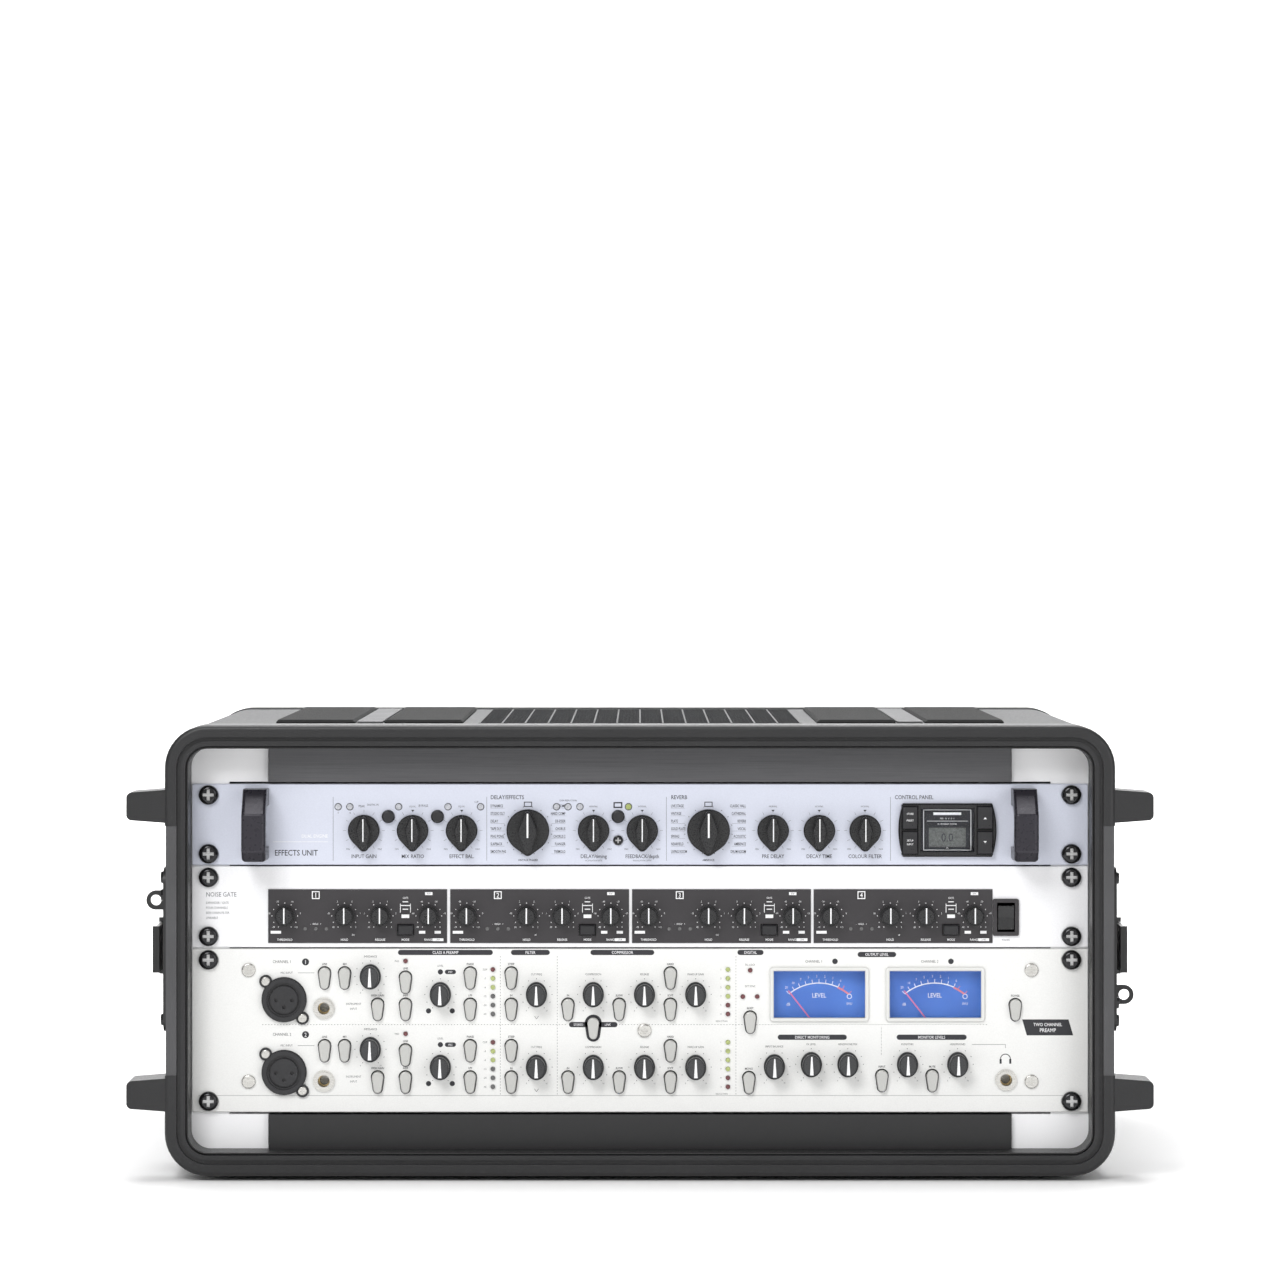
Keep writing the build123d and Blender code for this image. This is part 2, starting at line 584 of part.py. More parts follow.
with BuildPart() as rack_screws:
    for places, seat, radius, height, dome, recess in (
        (RACK_SCREW_PLACES, PANEL_FRONT, RACK_HEAD_R, RACK_HEAD_H, 2.2, 6.0),
        (PANEL_SCREW_PLACES, PANEL_FRONT, SMALL_HEAD_R, SMALL_HEAD_H, 0.9, 3.6),
        (FX_SCREW_PLACES, PANEL_FRONT, FX_HEAD_R, SMALL_HEAD_H, 0.9, 3.0),
        (XLR_SCREW_PLACES, PANEL_FRONT - XLR_PLATE_T, XLR_SCREW_R, XLR_SCREW_H, 0.5, 2.8),
    ):
        with BuildSketch(facing(seat)):
            with Locations(*places):
                Circle(radius)
        extrude(amount=height)
        crowns = rack_screws.edges().filter_by(GeomType.CIRCLE).group_by(Axis.Y)
        tips = [e for group in crowns for e in group if abs(e.center().Y - (seat - height)) < SAME_PLACE]
        fillet([e for e in tips if abs(e.radius - radius) < SAME_PLACE], dome)
        with BuildSketch(facing(seat - height)):
            with Locations(*places):
                cross_recess(recess)
        extrude(amount=-RECESS_DEPTH * height, mode=Mode.SUBTRACT)
    with BuildSketch(facing(PANEL_FRONT)):
        with Locations(*RACK_SCREW_PLACES):
            Circle(RACK_SHANK_R)
    extrude(amount=-RACK_SHANK)
    for side in (-1, 1):
        plate_face = Plane(
            origin=(side * (SHELL_X + PLATE_T), PLATE_Y, ZC), x_dir=(0, side, 0), z_dir=(side, 0, 0)
        )
        with BuildSketch(plate_face):
            with Locations(*[(side * along, -side * up) for along, up in RIVET_PLACES]):
                Circle(RIVET_R)
        extrude(amount=RIVET_H, taper=RIVET_TAPER)
save(rack_screws, "rack_screws")


# ---------------------------------------------------------------- enclosures
BOX_SHORTER, BOX_FOOT = 3.0, 1.1  # a tray is lower than its units, and stands above its panel's foot
VENTS_X, VENTS_Y, VENT_PITCH_X, VENT_PITCH_Y, VENT_LEN, VENT_W = 9, 6, 16.0, 7.0, 12.0, 3.0


def enclosure(foot, units, depth):
    """A folded tray with its separate cover, standing behind a panel."""
    height = units * RACK_UNIT - BOX_SHORTER
    z = foot + BOX_FOOT
    with BuildPart() as box:
        with BuildSketch(facing(PANEL_BACK)):
            with Locations((0, z + height / 2)):
                Rectangle(BOX_W, height)
        extrude(amount=-depth)
        with BuildSketch(facing(PANEL_BACK)):
            with Locations((0, z + BOX_T + height / 2)):
                Rectangle(BOX_W - 2 * BOX_T, height)
        extrude(amount=-(depth - BOX_T), mode=Mode.SUBTRACT)
    with BuildPart() as cover:
        with BuildSketch(Plane.XY.offset(z + height)):
            with Locations((0, PANEL_BACK + depth / 2)):
                Rectangle(BOX_W, depth)
                with GridLocations(VENT_PITCH_X, VENT_PITCH_Y, VENTS_X, VENTS_Y):
                    SlotOverall(VENT_LEN, VENT_W, mode=Mode.SUBTRACT)
        extrude(amount=BOX_T)
    with BuildPart() as pair:
        add(Compound([box.part, cover.part]))
    return pair


save(enclosure(FX_Z, 1, FX_DEPTH), "fx_enclosure")
save(enclosure(GATE_Z, 1, GATE_DEPTH), "gate_enclosure")
save(enclosure(PRE_Z, 2, PRE_DEPTH), "preamp_enclosure")

# ---------------------------------------------------------------- effects processor
# The two bow handles bolted to its ears, with a long slope at the head and a short one at the foot
HANDLE_FOOT, HANDLE_REACH, HANDLE_BAR = 9.0, RECESS + HANDLE_PROUD, 7.5
HEAD_SLOPE, FOOT_SLOPE, FOOT_TUCK, FOOT_RISE = 13.0, 5.0, 0.5, 6.0
GRIP_SLOPE, GRIP_TUCK = 5.0, 1.5
HANDLE_ROUNDING, HANDLE_FRONT_ROUNDING = 1.6, 2.2
HANDLE_MID = FX_Z + (RACK_UNIT - PANEL_GAP) / 2
with BuildPart() as fx_rack_handles:
    top, low = HANDLE_MID + FX_HANDLE_H / 2, HANDLE_MID - FX_HANDLE_H / 2
    tip, root = PANEL_FRONT - HANDLE_REACH, PANEL_FRONT
    for side in (-1, 1):
        with BuildSketch(Plane.YZ.offset(side * FX_HANDLE_X - FX_HANDLE_W / 2)):
            with BuildLine():
                Polyline(
                    (root, low),
                    (tip + FOOT_SLOPE, low + FOOT_TUCK),
                    (tip, low + FOOT_RISE),
                    (tip, top - HEAD_SLOPE),
                    (tip + HEAD_SLOPE, top),
                    (root, top),
                    close=True,
                )
            make_face()
            with BuildLine():
                Polyline(
                    (root, low + HANDLE_FOOT - GRIP_TUCK),
                    (tip + HANDLE_BAR, low + HANDLE_FOOT - GRIP_TUCK),
                    (tip + HANDLE_BAR, top - HANDLE_FOOT - GRIP_SLOPE),
                    (tip + HANDLE_BAR + GRIP_SLOPE, top - HANDLE_FOOT),
                    (root, top - HANDLE_FOOT),
                    close=True,
                )
            make_face(mode=Mode.SUBTRACT)
        extrude(amount=FX_HANDLE_W)
    fillet(fx_rack_handles.edges().filter_by(Axis.X).group_by(Axis.Y)[:3], HANDLE_ROUNDING)
    outer_rims = fx_rack_handles.faces().group_by(Axis.Y)[0].edges().filter_by(Axis.Z)
    fillet(outer_rims, HANDLE_FRONT_ROUNDING)
save(fx_rack_handles, "fx_rack_handles")

# The display's bezel, bulged at both ends, with pockets for the keys and the window
BEZEL_CHAMFER, WINDOW_SUNK, METER_WINDOW_T = 0.7, 0.9, 1.5
with BuildPart() as fx_display_bezel:
    left, right = DISPLAY_X - DISPLAY_W / 2, DISPLAY_X + DISPLAY_W / 2
    middle = FX_Z + DISPLAY_Z
    low, top = middle - DISPLAY_H / 2, middle + DISPLAY_H / 2
    with BuildSketch(facing(PANEL_FRONT)):
        with BuildLine():
            Line((left, low), (right, low))
            ThreePointArc((right, low), (right + DISPLAY_BULGE, middle), (right, top))
            Line((right, top), (left, top))
            ThreePointArc((left, top), (left - DISPLAY_BULGE, middle), (left, low))
        make_face()
    extrude(amount=DISPLAY_PROUD)
    chamfer(fx_display_bezel.edges().group_by(Axis.Y)[0], BEZEL_CHAMFER)
    with BuildSketch(facing(PANEL_FRONT)):
        with Locations(*lifted(KEY_PLACES, FX_Z)):
            Rectangle(KEY_W + 2 * BUTTON_PLAY, KEY_H + 2 * BUTTON_PLAY)
        with Locations((DISPLAY_X, FX_Z + DISPLAY_Z)):
            Rectangle(WINDOW_W, WINDOW_H)
    extrude(amount=DISPLAY_PROUD, mode=Mode.SUBTRACT)
save(fx_display_bezel, "fx_display_bezel")

# Clear windows: the display's, and one over each meter
with BuildPart() as display_windows:
    with BuildSketch(facing(PANEL_FRONT)):
        with Locations((DISPLAY_X, FX_Z + DISPLAY_Z)):
            Rectangle(WINDOW_W, WINDOW_H)
    extrude(amount=DISPLAY_PROUD - WINDOW_SUNK)
    with BuildSketch(facing(PANEL_FRONT)):
        with Locations(*[(x, PRE_Z + METER_Z) for x in METER_X]):
            Rectangle(METER_W, METER_H)
    extrude(amount=-METER_WINDOW_T)
save(display_windows, "display_windows")


KNOB_CHAMFER = 0.5
BLADE_TIP_R, BLADE_TIP_IN, BLADE_WAIST = 1.9, 2.8, 0.44  # the waist is a fraction of the skirt's radius


def knob(name, place, foot, outline, grip, height, shaft_r):
    """A knob on its shaft. outline and grip draw its skirt and its finger grip."""
    back = PANEL_FRONT - KNOB_GAP
    skirt_h, grip_h = height
    with BuildPart() as one:
        with BuildSketch(facing(back)):
            with Locations((place[0], foot + place[1])):
                outline()
        extrude(amount=skirt_h)
        chamfer(one.edges().group_by(Axis.Y)[0], KNOB_CHAMFER)
        with BuildSketch(facing(back - skirt_h)):
            with Locations((place[0], foot + place[1])):
                grip()
        extrude(amount=grip_h)
        chamfer(one.edges().group_by(Axis.Y)[0], KNOB_CHAMFER)
        with BuildSketch(facing(back)):
            with Locations((place[0], foot + place[1])):
                Circle(shaft_r)
        extrude(amount=-(SHAFT_END - back))
    save(one, name)


def pointed(radius, reach, nose):
    """A round outline drawn out to a point at its foot."""
    with BuildSketch(mode=Mode.PRIVATE) as shape:
        Circle(radius)
        with Locations((0, nose - reach)):
            Circle(nose)
        make_hull()
    add(shape.sketch)


def blade(radius, reach):
    """The raised finger grip: a narrow nose at the head, broad in the middle, a point below."""
    with BuildSketch(mode=Mode.PRIVATE) as shape:
        with Locations((0, radius - BLADE_TIP_IN)):
            Circle(BLADE_TIP_R)
        Circle(radius * BLADE_WAIST)
        with Locations((0, BLADE_TIP_IN - reach)):
            Circle(BLADE_TIP_R)
        make_hull()
    add(shape.sketch)


def fx_skirt():
    pointed(FX_KNOB_R, FX_KNOB_REACH, FX_NOSE)


def fx_blade():
    blade(FX_KNOB_R, FX_KNOB_REACH)


def dial_skirt():
    pointed(FX_DIAL_R, FX_DIAL_REACH, FX_NOSE)


def dial_blade():
    blade(FX_DIAL_R, FX_DIAL_REACH)


FX_KNOB_HEIGHT, FX_DIAL_HEIGHT = (4.0, 8.0), (4.5, 9.0)
for name, x in FX_KNOBS.items():
    knob(name, (x, FX_KNOB_Z), FX_Z, fx_skirt, fx_blade, FX_KNOB_HEIGHT, FX_SHAFT_R)
for name, x in FX_DIALS.items():
    knob(name, (x, FX_KNOB_Z), FX_Z, dial_skirt, dial_blade, FX_DIAL_HEIGHT, FX_SHAFT_R)

# Push buttons and display keys, which all travel straight in
FX_BUTTON_PROUD, FX_BUTTON_ROUNDING = 3.0, 0.8
KEY_PROUD, KEY_CORNER, KEY_CHAMFER = 5.0, 0.6, 0.5
with BuildPart() as fx_buttons:
    with BuildSketch(facing(BUTTON_END)):
        with Locations(*lifted([(x, FX_BUTTON_Z) for x in FX_BUTTON_X], FX_Z)):
            Circle(FX_BUTTON_R)
    extrude(amount=BUTTON_END - PANEL_FRONT + FX_BUTTON_PROUD)
    fillet(fx_buttons.edges().group_by(Axis.Y)[0], FX_BUTTON_ROUNDING)
    with BuildSketch(facing(BUTTON_END)):
        with Locations(*lifted(KEY_PLACES, FX_Z)):
            RectangleRounded(KEY_W, KEY_H, KEY_CORNER)
    extrude(amount=BUTTON_END - PANEL_FRONT + KEY_PROUD)
    chamfer(fx_buttons.edges().group_by(Axis.Y)[0], KEY_CHAMFER)
save(fx_buttons, "fx_buttons")


# ---------------------------------------------------------------- gate
# Printed channel strips and the power switch's frame, on the gate's panel
ROCKER_FRAME_T, ROCKER_FRAME_CORNER = 1.6, 1.0
ROCKER_PLAY_X, ROCKER_PLAY_Z = 1.2, 2.2
with BuildPart() as gate_channel_panels:
    with BuildSketch(facing(PANEL_FRONT)):
        strip_mid = GATE_Z + GATE_STRIP_Z + GATE_STRIP_H / 2
        with Locations(*[(x + GATE_CHANNEL_W / 2, strip_mid) for x in GATE_CHANNEL_X]):
            Rectangle(GATE_CHANNEL_W, GATE_STRIP_H)
        with Locations((0, GATE_Z)):
            with Locations(*GATE_KNOB_PLACES):
                Circle(GATE_SHAFT_R + SHAFT_PLAY, mode=Mode.SUBTRACT)
            with Locations(*GATE_BUTTON_PLACES):
                Rectangle(
                    GATE_BUTTON_W + 2 * BUTTON_PLAY, GATE_BUTTON_H + 2 * BUTTON_PLAY, mode=Mode.SUBTRACT
                )
    extrude(amount=GATE_STRIP_T)
    with BuildSketch(facing(PANEL_FRONT)):
        with Locations((ROCKER_X, GATE_Z + ROCKER_Z)):
            RectangleRounded(ROCKER_FRAME_W, ROCKER_FRAME_H, ROCKER_FRAME_CORNER)
            Rectangle(ROCKER_W + ROCKER_PLAY_X, ROCKER_H + ROCKER_PLAY_Z, mode=Mode.SUBTRACT)
    extrude(amount=ROCKER_FRAME_T)
save(gate_channel_panels, "gate_channel_panels")

# The gate's sixteen knobs, joined as one node of separate pieces
GATE_SKIRT_H, GATE_CAP_H, GATE_CAP_IN = 2.4, 6.6, 0.9
with BuildPart() as gate_knobs:
    knob_back = PANEL_FRONT - GATE_STRIP_T - KNOB_GAP
    with BuildSketch(facing(knob_back)):
        with Locations(*lifted(GATE_KNOB_PLACES, GATE_Z)):
            Circle(GATE_KNOB_R)
    extrude(amount=GATE_SKIRT_H)
    with BuildSketch(facing(knob_back - GATE_SKIRT_H)):
        with Locations(*lifted(GATE_KNOB_PLACES, GATE_Z)):
            Circle(GATE_KNOB_R - GATE_CAP_IN)
    extrude(amount=GATE_CAP_H)
    chamfer(gate_knobs.edges().group_by(Axis.Y)[0], KNOB_CHAMFER)
    with BuildSketch(facing(knob_back)):
        with Locations(*lifted(GATE_KNOB_PLACES, GATE_Z)):
            Circle(GATE_SHAFT_R)
    extrude(amount=-(SHAFT_END - knob_back))
save(gate_knobs, "gate_knobs")

BUTTON_PROUD, BUTTON_ROUNDING = 3.4, 0.7
with BuildPart() as gate_mode_buttons:
    with BuildSketch(facing(BUTTON_END)):
        with Locations(*lifted(GATE_BUTTON_PLACES, GATE_Z)):
            Rectangle(GATE_BUTTON_W, GATE_BUTTON_H)
    extrude(amount=BUTTON_END - PANEL_FRONT + BUTTON_PROUD)
    chamfer(gate_mode_buttons.edges().group_by(Axis.Y)[0], BUTTON_ROUNDING)
save(gate_mode_buttons, "gate_mode_buttons")

# The rocker: a shallow vee on a pivot, with its upper half standing out
ROCKER_PIVOT_IN = 1.0
ROCKER_PROFILE = (  # depth behind the pivot, and height above it
    (4.0, -4.2),
    (4.0, 4.2),
    (-2.2, ROCKER_H / 2 - 0.3),
    (-4.4, ROCKER_H / 2 - 0.7),
    (-2.9, 0.0),
    (-2.8, 0.3 - ROCKER_H / 2),
    (-1.2, -ROCKER_H / 2),
)
with BuildPart() as gate_power_rocker:
    rocker_y, rocker_z = PANEL_FRONT + ROCKER_PIVOT_IN, GATE_Z + ROCKER_Z
    with BuildSketch(Plane.YZ.offset(ROCKER_X - ROCKER_W / 2)):
        with BuildLine():
            Polyline(*[(rocker_y + dy, rocker_z + dz) for dy, dz in ROCKER_PROFILE], close=True)
        make_face()
    extrude(amount=ROCKER_W)
save(gate_power_rocker, "gate_power_rocker")


# ---------------------------------------------------------------- preamplifier
PRE_KNOB_HEIGHT, PRE_GRIP_IN = (3.0, 8.0), 0.9


def oval():
    Ellipse(PRE_KNOB_RX, PRE_KNOB_RZ)


def oval_grip():
    Ellipse(PRE_KNOB_RX - PRE_GRIP_IN, PRE_KNOB_RZ - PRE_GRIP_IN)


for name, place in PRE_KNOB_PLACES.items():
    knob(name, place, PRE_Z, oval, oval_grip, PRE_KNOB_HEIGHT, PRE_SHAFT_R)

with BuildPart() as preamp_buttons:
    with BuildSketch(mode=Mode.PRIVATE) as cap:
        teardrop()
    with BuildSketch(facing(BUTTON_END)):
        with Locations(*lifted(PRE_BUTTON_PLACES, PRE_Z)):
            add(cap.sketch)
    extrude(amount=BUTTON_END - PANEL_FRONT + BUTTON_PROUD)
    fillet(preamp_buttons.edges().group_by(Axis.Y)[0], BUTTON_ROUNDING)
save(preamp_buttons, "preamp_buttons")

# Meters: a frame on the panel, and a case behind it whose floor carries the dial
CASE_SIDE, CASE_UP, CASE_DOWN = METER_W / 2 + 1.5, METER_H / 2 + 1.5, METER_H / 2 + 9.5
METER_CAVITY, METER_CASE_DEPTH, METER_WALL = 6.0, 18.0, 1.2
METER_FRAME_OUT, METER_FRAME_IN, METER_FRAME_T = 1.8, 0.4, 1.6
METER_FRAME_CORNER, METER_CHAMFER = 2.0, 0.5
with BuildPart() as meter_cases:
    for x in METER_X:
        with BuildSketch(facing(PANEL_FRONT)):
            with Locations((x, PRE_Z + METER_Z)):
                RectangleRounded(
                    METER_W + 2 * METER_FRAME_OUT, METER_H + 2 * METER_FRAME_OUT, METER_FRAME_CORNER
                )
                Rectangle(METER_W - 2 * METER_FRAME_IN, METER_H - 2 * METER_FRAME_IN, mode=Mode.SUBTRACT)
        extrude(amount=METER_FRAME_T)
        body_z = PRE_Z + METER_Z + (CASE_UP - CASE_DOWN) / 2
        with BuildSketch(facing(PANEL_BACK)):
            with Locations((x, body_z)):
                Rectangle(2 * CASE_SIDE, CASE_UP + CASE_DOWN)
        extrude(amount=-METER_CASE_DEPTH)
        with BuildSketch(facing(PANEL_BACK)):
            with Locations((x, body_z)):
                Rectangle(2 * (CASE_SIDE - METER_WALL), CASE_UP + CASE_DOWN - 2 * METER_WALL)
        extrude(amount=-METER_CAVITY, mode=Mode.SUBTRACT)
    chamfer(meter_cases.edges().group_by(Axis.Y)[0].filter_by(GeomType.LINE), METER_CHAMFER)
save(meter_cases, "meter_cases")

NEEDLE_IN, NEEDLE_W, NEEDLE_T, NEEDLE_HUB_R = 2.6, 0.7, 0.6, 1.6
SPINDLE_R, SPINDLE_GAP = 1.2, 0.3
NEEDLE_Y = PANEL_BACK + NEEDLE_IN
for name, x in (("left_meter_needle", METER_X[0]), ("right_meter_needle", METER_X[1])):
    with BuildPart() as needle:
        pivot_z = PRE_Z + METER_Z - NEEDLE_DROP
        with BuildSketch(facing(NEEDLE_Y)):
            with Locations(Location((x, pivot_z), NEEDLE_REST)):
                with Locations((0, NEEDLE_LEN / 2)):
                    Rectangle(NEEDLE_W, NEEDLE_LEN)
                Circle(NEEDLE_HUB_R)
        extrude(amount=NEEDLE_T)
        with BuildSketch(facing(NEEDLE_Y)):
            with Locations((x, pivot_z)):
                Circle(SPINDLE_R)
        extrude(amount=-(METER_CAVITY - NEEDLE_IN - SPINDLE_GAP))
    save(needle, name)


# ---------------------------------------------------------------- sockets
XLR_BODY_R, XLR_BODY = 10.6, 26.0
XLR_RING_H, XLR_WELL, XLR_INSERT_R = 1.8, 3.0, 7.4
XLR_PINS, XLR_PIN_HOLE_R = ((-4.3, -0.3), (4.3, -0.3), (0.0, -4.0)), 1.0
REAR_WALLS = (  # rear face of each enclosure, and its panel's foot
    (PANEL_BACK + FX_DEPTH, FX_Z),
    (PANEL_BACK + GATE_DEPTH, GATE_Z),
    (PANEL_BACK + PRE_DEPTH, PRE_Z),
)
INLET_X, INLET_W, INLET_H = -185.0, 30.0, 22.0
REAR_JACKS = {
    0: [(x, 12.0) for x in (150, 125, 100, 75)] + [(x, 30.0) for x in (150, 125)],
    1: [(x, 12.0) for x in (-127, -76, -25, 26, 77, 128)],
    2: [(x, 20.0) for x in (40, 65, 90, 115)] + [(x, 45.0) for x in (40, 65, 90, 115)],
}
REAR_XLRS = {
    0: [],
    1: [(x, 21.5) for x in (-150, -100, -50, 0, 50, 100, 150)],
    2: [(x, 58.0) for x in (-120, -85, -50, -15)] + [(x, 25.0) for x in (-120, -85, -50, -15)],
}
INLET_CORNER, INLET_WALL = 2.0, 3.0
INLET_UP = (21.5, 21.5, 44.0)
REAR_FLANGE, REAR_WELL = 3.0, 2.2
REAR_JACK_R, REAR_JACK_BORE_R = 5.4, 3.2
REAR_XLR_R, REAR_XLR_GROOVE_R, REAR_XLR_CORE_R = 11.5, 9.0, 7.4
XLR_RING_IN, XLR_RING_W, XLR_WELL_PLAY = 0.6, 2.2, 1.0
JACK_NUT_H, JACK_COLLAR_H, JACK_COLLAR_IN = 1.0, 0.8, 0.9
JACK_BODY_IN, JACK_BODY = 0.7, 30.0


def microphone_socket(place):
    """A flanged socket: plate with two ears, a ring, a well with three pin holes, and its body."""
    plate_face = PANEL_FRONT - XLR_PLATE_T
    with BuildPart() as socket:
        with BuildSketch(facing(PANEL_FRONT)):
            with Locations(place):
                Circle(XLR_R)
                with Locations((-XLR_EAR_AT, XLR_EAR_AT), (XLR_EAR_AT, -XLR_EAR_AT)):
                    Circle(XLR_EAR_R)
        extrude(amount=XLR_PLATE_T)
        with BuildSketch(facing(plate_face)):
            with Locations(place):
                Circle(XLR_R - XLR_RING_IN)
                Circle(XLR_R - XLR_RING_IN - XLR_RING_W, mode=Mode.SUBTRACT)
        extrude(amount=XLR_RING_H)
        with BuildSketch(facing(plate_face)):
            with Locations(place):
                Circle(XLR_INSERT_R + XLR_WELL_PLAY)
        extrude(amount=-XLR_WELL, mode=Mode.SUBTRACT)
        with BuildSketch(facing(plate_face + XLR_WELL)):
            with Locations(place):
                Circle(XLR_INSERT_R)
                with Locations(*XLR_PINS):
                    Circle(XLR_PIN_HOLE_R, mode=Mode.SUBTRACT)
        extrude(amount=XLR_WELL)
        with BuildSketch(facing(PANEL_FRONT)):
            with Locations(place):
                Circle(XLR_BODY_R)
        extrude(amount=-XLR_BODY)
    return socket


def front_jack(place):
    """A jack: a round nut and collar on the panel, a body behind it, and a bore."""
    with BuildPart() as jack:
        for face, radius, amount in (
            (PANEL_FRONT, JACK_R, JACK_NUT_H),
            (PANEL_FRONT - JACK_NUT_H, JACK_R - JACK_COLLAR_IN, JACK_COLLAR_H),
            (PANEL_FRONT, JACK_R - JACK_BODY_IN, -JACK_BODY),
        ):
            with BuildSketch(facing(face)):
                with Locations(place):
                    Circle(radius)
            extrude(amount=amount)
        with BuildSketch(facing(PANEL_FRONT - JACK_NUT_H - JACK_COLLAR_H)):
            with Locations(place):
                Circle(JACK_BORE_R)
        extrude(amount=-JACK_BORE, mode=Mode.SUBTRACT)
    return jack


def rear_connectors(unit):
    """A unit's mains inlet, jacks and microphone connectors on its rear wall, each with its well."""
    wall, foot = REAR_WALLS[unit]
    inlet = (INLET_X, foot + INLET_UP[unit])
    with BuildPart() as connectors:
        with BuildSketch(facing(wall)):
            with Locations(inlet):
                RectangleRounded(INLET_W, INLET_H, INLET_CORNER)
            with Locations(*lifted(REAR_JACKS[unit], foot)):
                Circle(REAR_JACK_R)
            if REAR_XLRS[unit]:
                with Locations(*lifted(REAR_XLRS[unit], foot)):
                    Circle(REAR_XLR_R)
        extrude(amount=-REAR_FLANGE)
        with BuildSketch(facing(wall + REAR_FLANGE)):
            with Locations(inlet):
                RectangleRounded(INLET_W - 2 * INLET_WALL, INLET_H - 2 * INLET_WALL, INLET_CORNER)
            with Locations(*lifted(REAR_JACKS[unit], foot)):
                Circle(REAR_JACK_BORE_R)
            if REAR_XLRS[unit]:
                with Locations(*lifted(REAR_XLRS[unit], foot)):
                    Circle(REAR_XLR_GROOVE_R)
                    Circle(REAR_XLR_CORE_R, mode=Mode.SUBTRACT)
        extrude(amount=REAR_WELL, mode=Mode.SUBTRACT)
    return connectors


with BuildPart() as panel_sockets:
    for z in XLR_Z:
        add(microphone_socket((XLR_X, PRE_Z + z)).part)
    for x, z in JACKS:
        add(front_jack((x, PRE_Z + z)).part)
    for unit in range(len(REAR_WALLS)):
        add(rear_connectors(unit).part)
save(panel_sockets, "panel_sockets")

# Indicator lamps: round lenses standing in the panels
LAMP_PROUD, GATE_LAMP_T = 0.9, 0.6
with BuildPart() as indicator_lamps:
    for places, foot, radius in (
        ([(x, FX_LAMP_Z) for x in FX_LAMP_X], FX_Z, FX_LAMP_R),
        (PRE_LAMP_PLACES, PRE_Z, PRE_LAMP_R),
    ):
        with BuildSketch(facing(PANEL_BACK)):
            with Locations(*lifted(places, foot)):
                Circle(radius)
        extrude(amount=PANEL_T + LAMP_PROUD)
    with BuildSketch(facing(PANEL_FRONT - GATE_STRIP_T)):
        with Locations(*lifted(GATE_LAMP_PLACES, GATE_Z)):
            Circle(GATE_LAMP_R)
    extrude(amount=GATE_LAMP_T)
save(indicator_lamps, "indicator_lamps")


# ---------------------------------------------------------------- circuit boards
FX_POT, PRE_POT, GATE_POT = 14.0, 11.0, 9.0
POT_PLAY = 0.1
FX_SHAFTS = [(x, FX_KNOB_Z) for x in (*FX_KNOBS.values(), *FX_DIALS.values())]
CONTROL_BOARDS = (  # shafts, panel foot, potentiometer size, shaft radius, board as x0, x1, z0, z1
    (FX_SHAFTS, FX_Z, FX_POT, FX_SHAFT_R, (-200, 200, 4, 38)),
    (GATE_KNOB_PLACES, GATE_Z, GATE_POT, GATE_SHAFT_R, (-205, 186, 4, 38)),
    (list(PRE_KNOB_PLACES.values()), PRE_Z, PRE_POT, PRE_SHAFT_R, (-160, 52, 4, 82)),
)
MONITOR_BOARD_AT, MONITOR_BOARD = (120.0, 20.0), (136.0, 34.0)
MAIN_BOARD_X, MAIN_BOARD_W, MAIN_BOARD_UP = 40.0, 320.0, 6.5
MAIN_BOARD_START, MAIN_BOARD_SHORTER = 28.0, 50.0
SUPPLY_X, SUPPLY_FROM_BACK = -165.0, 75.0
SUPPLY_W, SUPPLY_LEN, SUPPLY_H, SUPPLY_CORNER = 52.0, 60.0, 28.0, 4.0

with BuildPart() as control_boards:
    for places, foot, size, shaft_r, (x0, x1, z0, z1) in CONTROL_BOARDS:
        with BuildSketch(facing(BOARD_FRONT + BOARD_T)):
            with Locations(((x0 + x1) / 2, foot + (z0 + z1) / 2)):
                Rectangle(x1 - x0, z1 - z0)
        extrude(amount=BOARD_T)
        with BuildSketch(facing(BOARD_FRONT)):
            with Locations(*lifted(places, foot)):
                Rectangle(size, size)
                Circle(shaft_r + POT_PLAY, mode=Mode.SUBTRACT)
        extrude(amount=POT_DEPTH)
    with BuildSketch(facing(BOARD_FRONT + BOARD_T)):
        with Locations(*lifted([MONITOR_BOARD_AT], PRE_Z)):
            Rectangle(*MONITOR_BOARD)
    extrude(amount=BOARD_T)
    for depth, foot in ((FX_DEPTH, FX_Z), (GATE_DEPTH, GATE_Z), (PRE_DEPTH, PRE_Z)):
        board_len = depth - MAIN_BOARD_SHORTER
        with BuildSketch(Plane.XY.offset(foot + MAIN_BOARD_UP)):
            with Locations((MAIN_BOARD_X, PANEL_BACK + MAIN_BOARD_START + board_len / 2)):
                Rectangle(MAIN_BOARD_W, board_len)
        extrude(amount=BOARD_T)
        with BuildSketch(Plane.XY.offset(foot + MAIN_BOARD_UP)):
            with Locations((SUPPLY_X, PANEL_BACK + depth - SUPPLY_FROM_BACK)):
                RectangleRounded(SUPPLY_W, SUPPLY_LEN, SUPPLY_CORNER)
        extrude(amount=SUPPLY_H)
save(control_boards, "control_boards")
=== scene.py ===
"""Looks of the loaded rack: materials, printed legends, lamps, meters, light and camera.

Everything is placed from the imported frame. Panel layouts are in millimetres: X from the
rack's middle, Z from the foot of the panel that the print is on."""

import json
import math

import bmesh
import bpy
from mathutils import Matrix, Vector


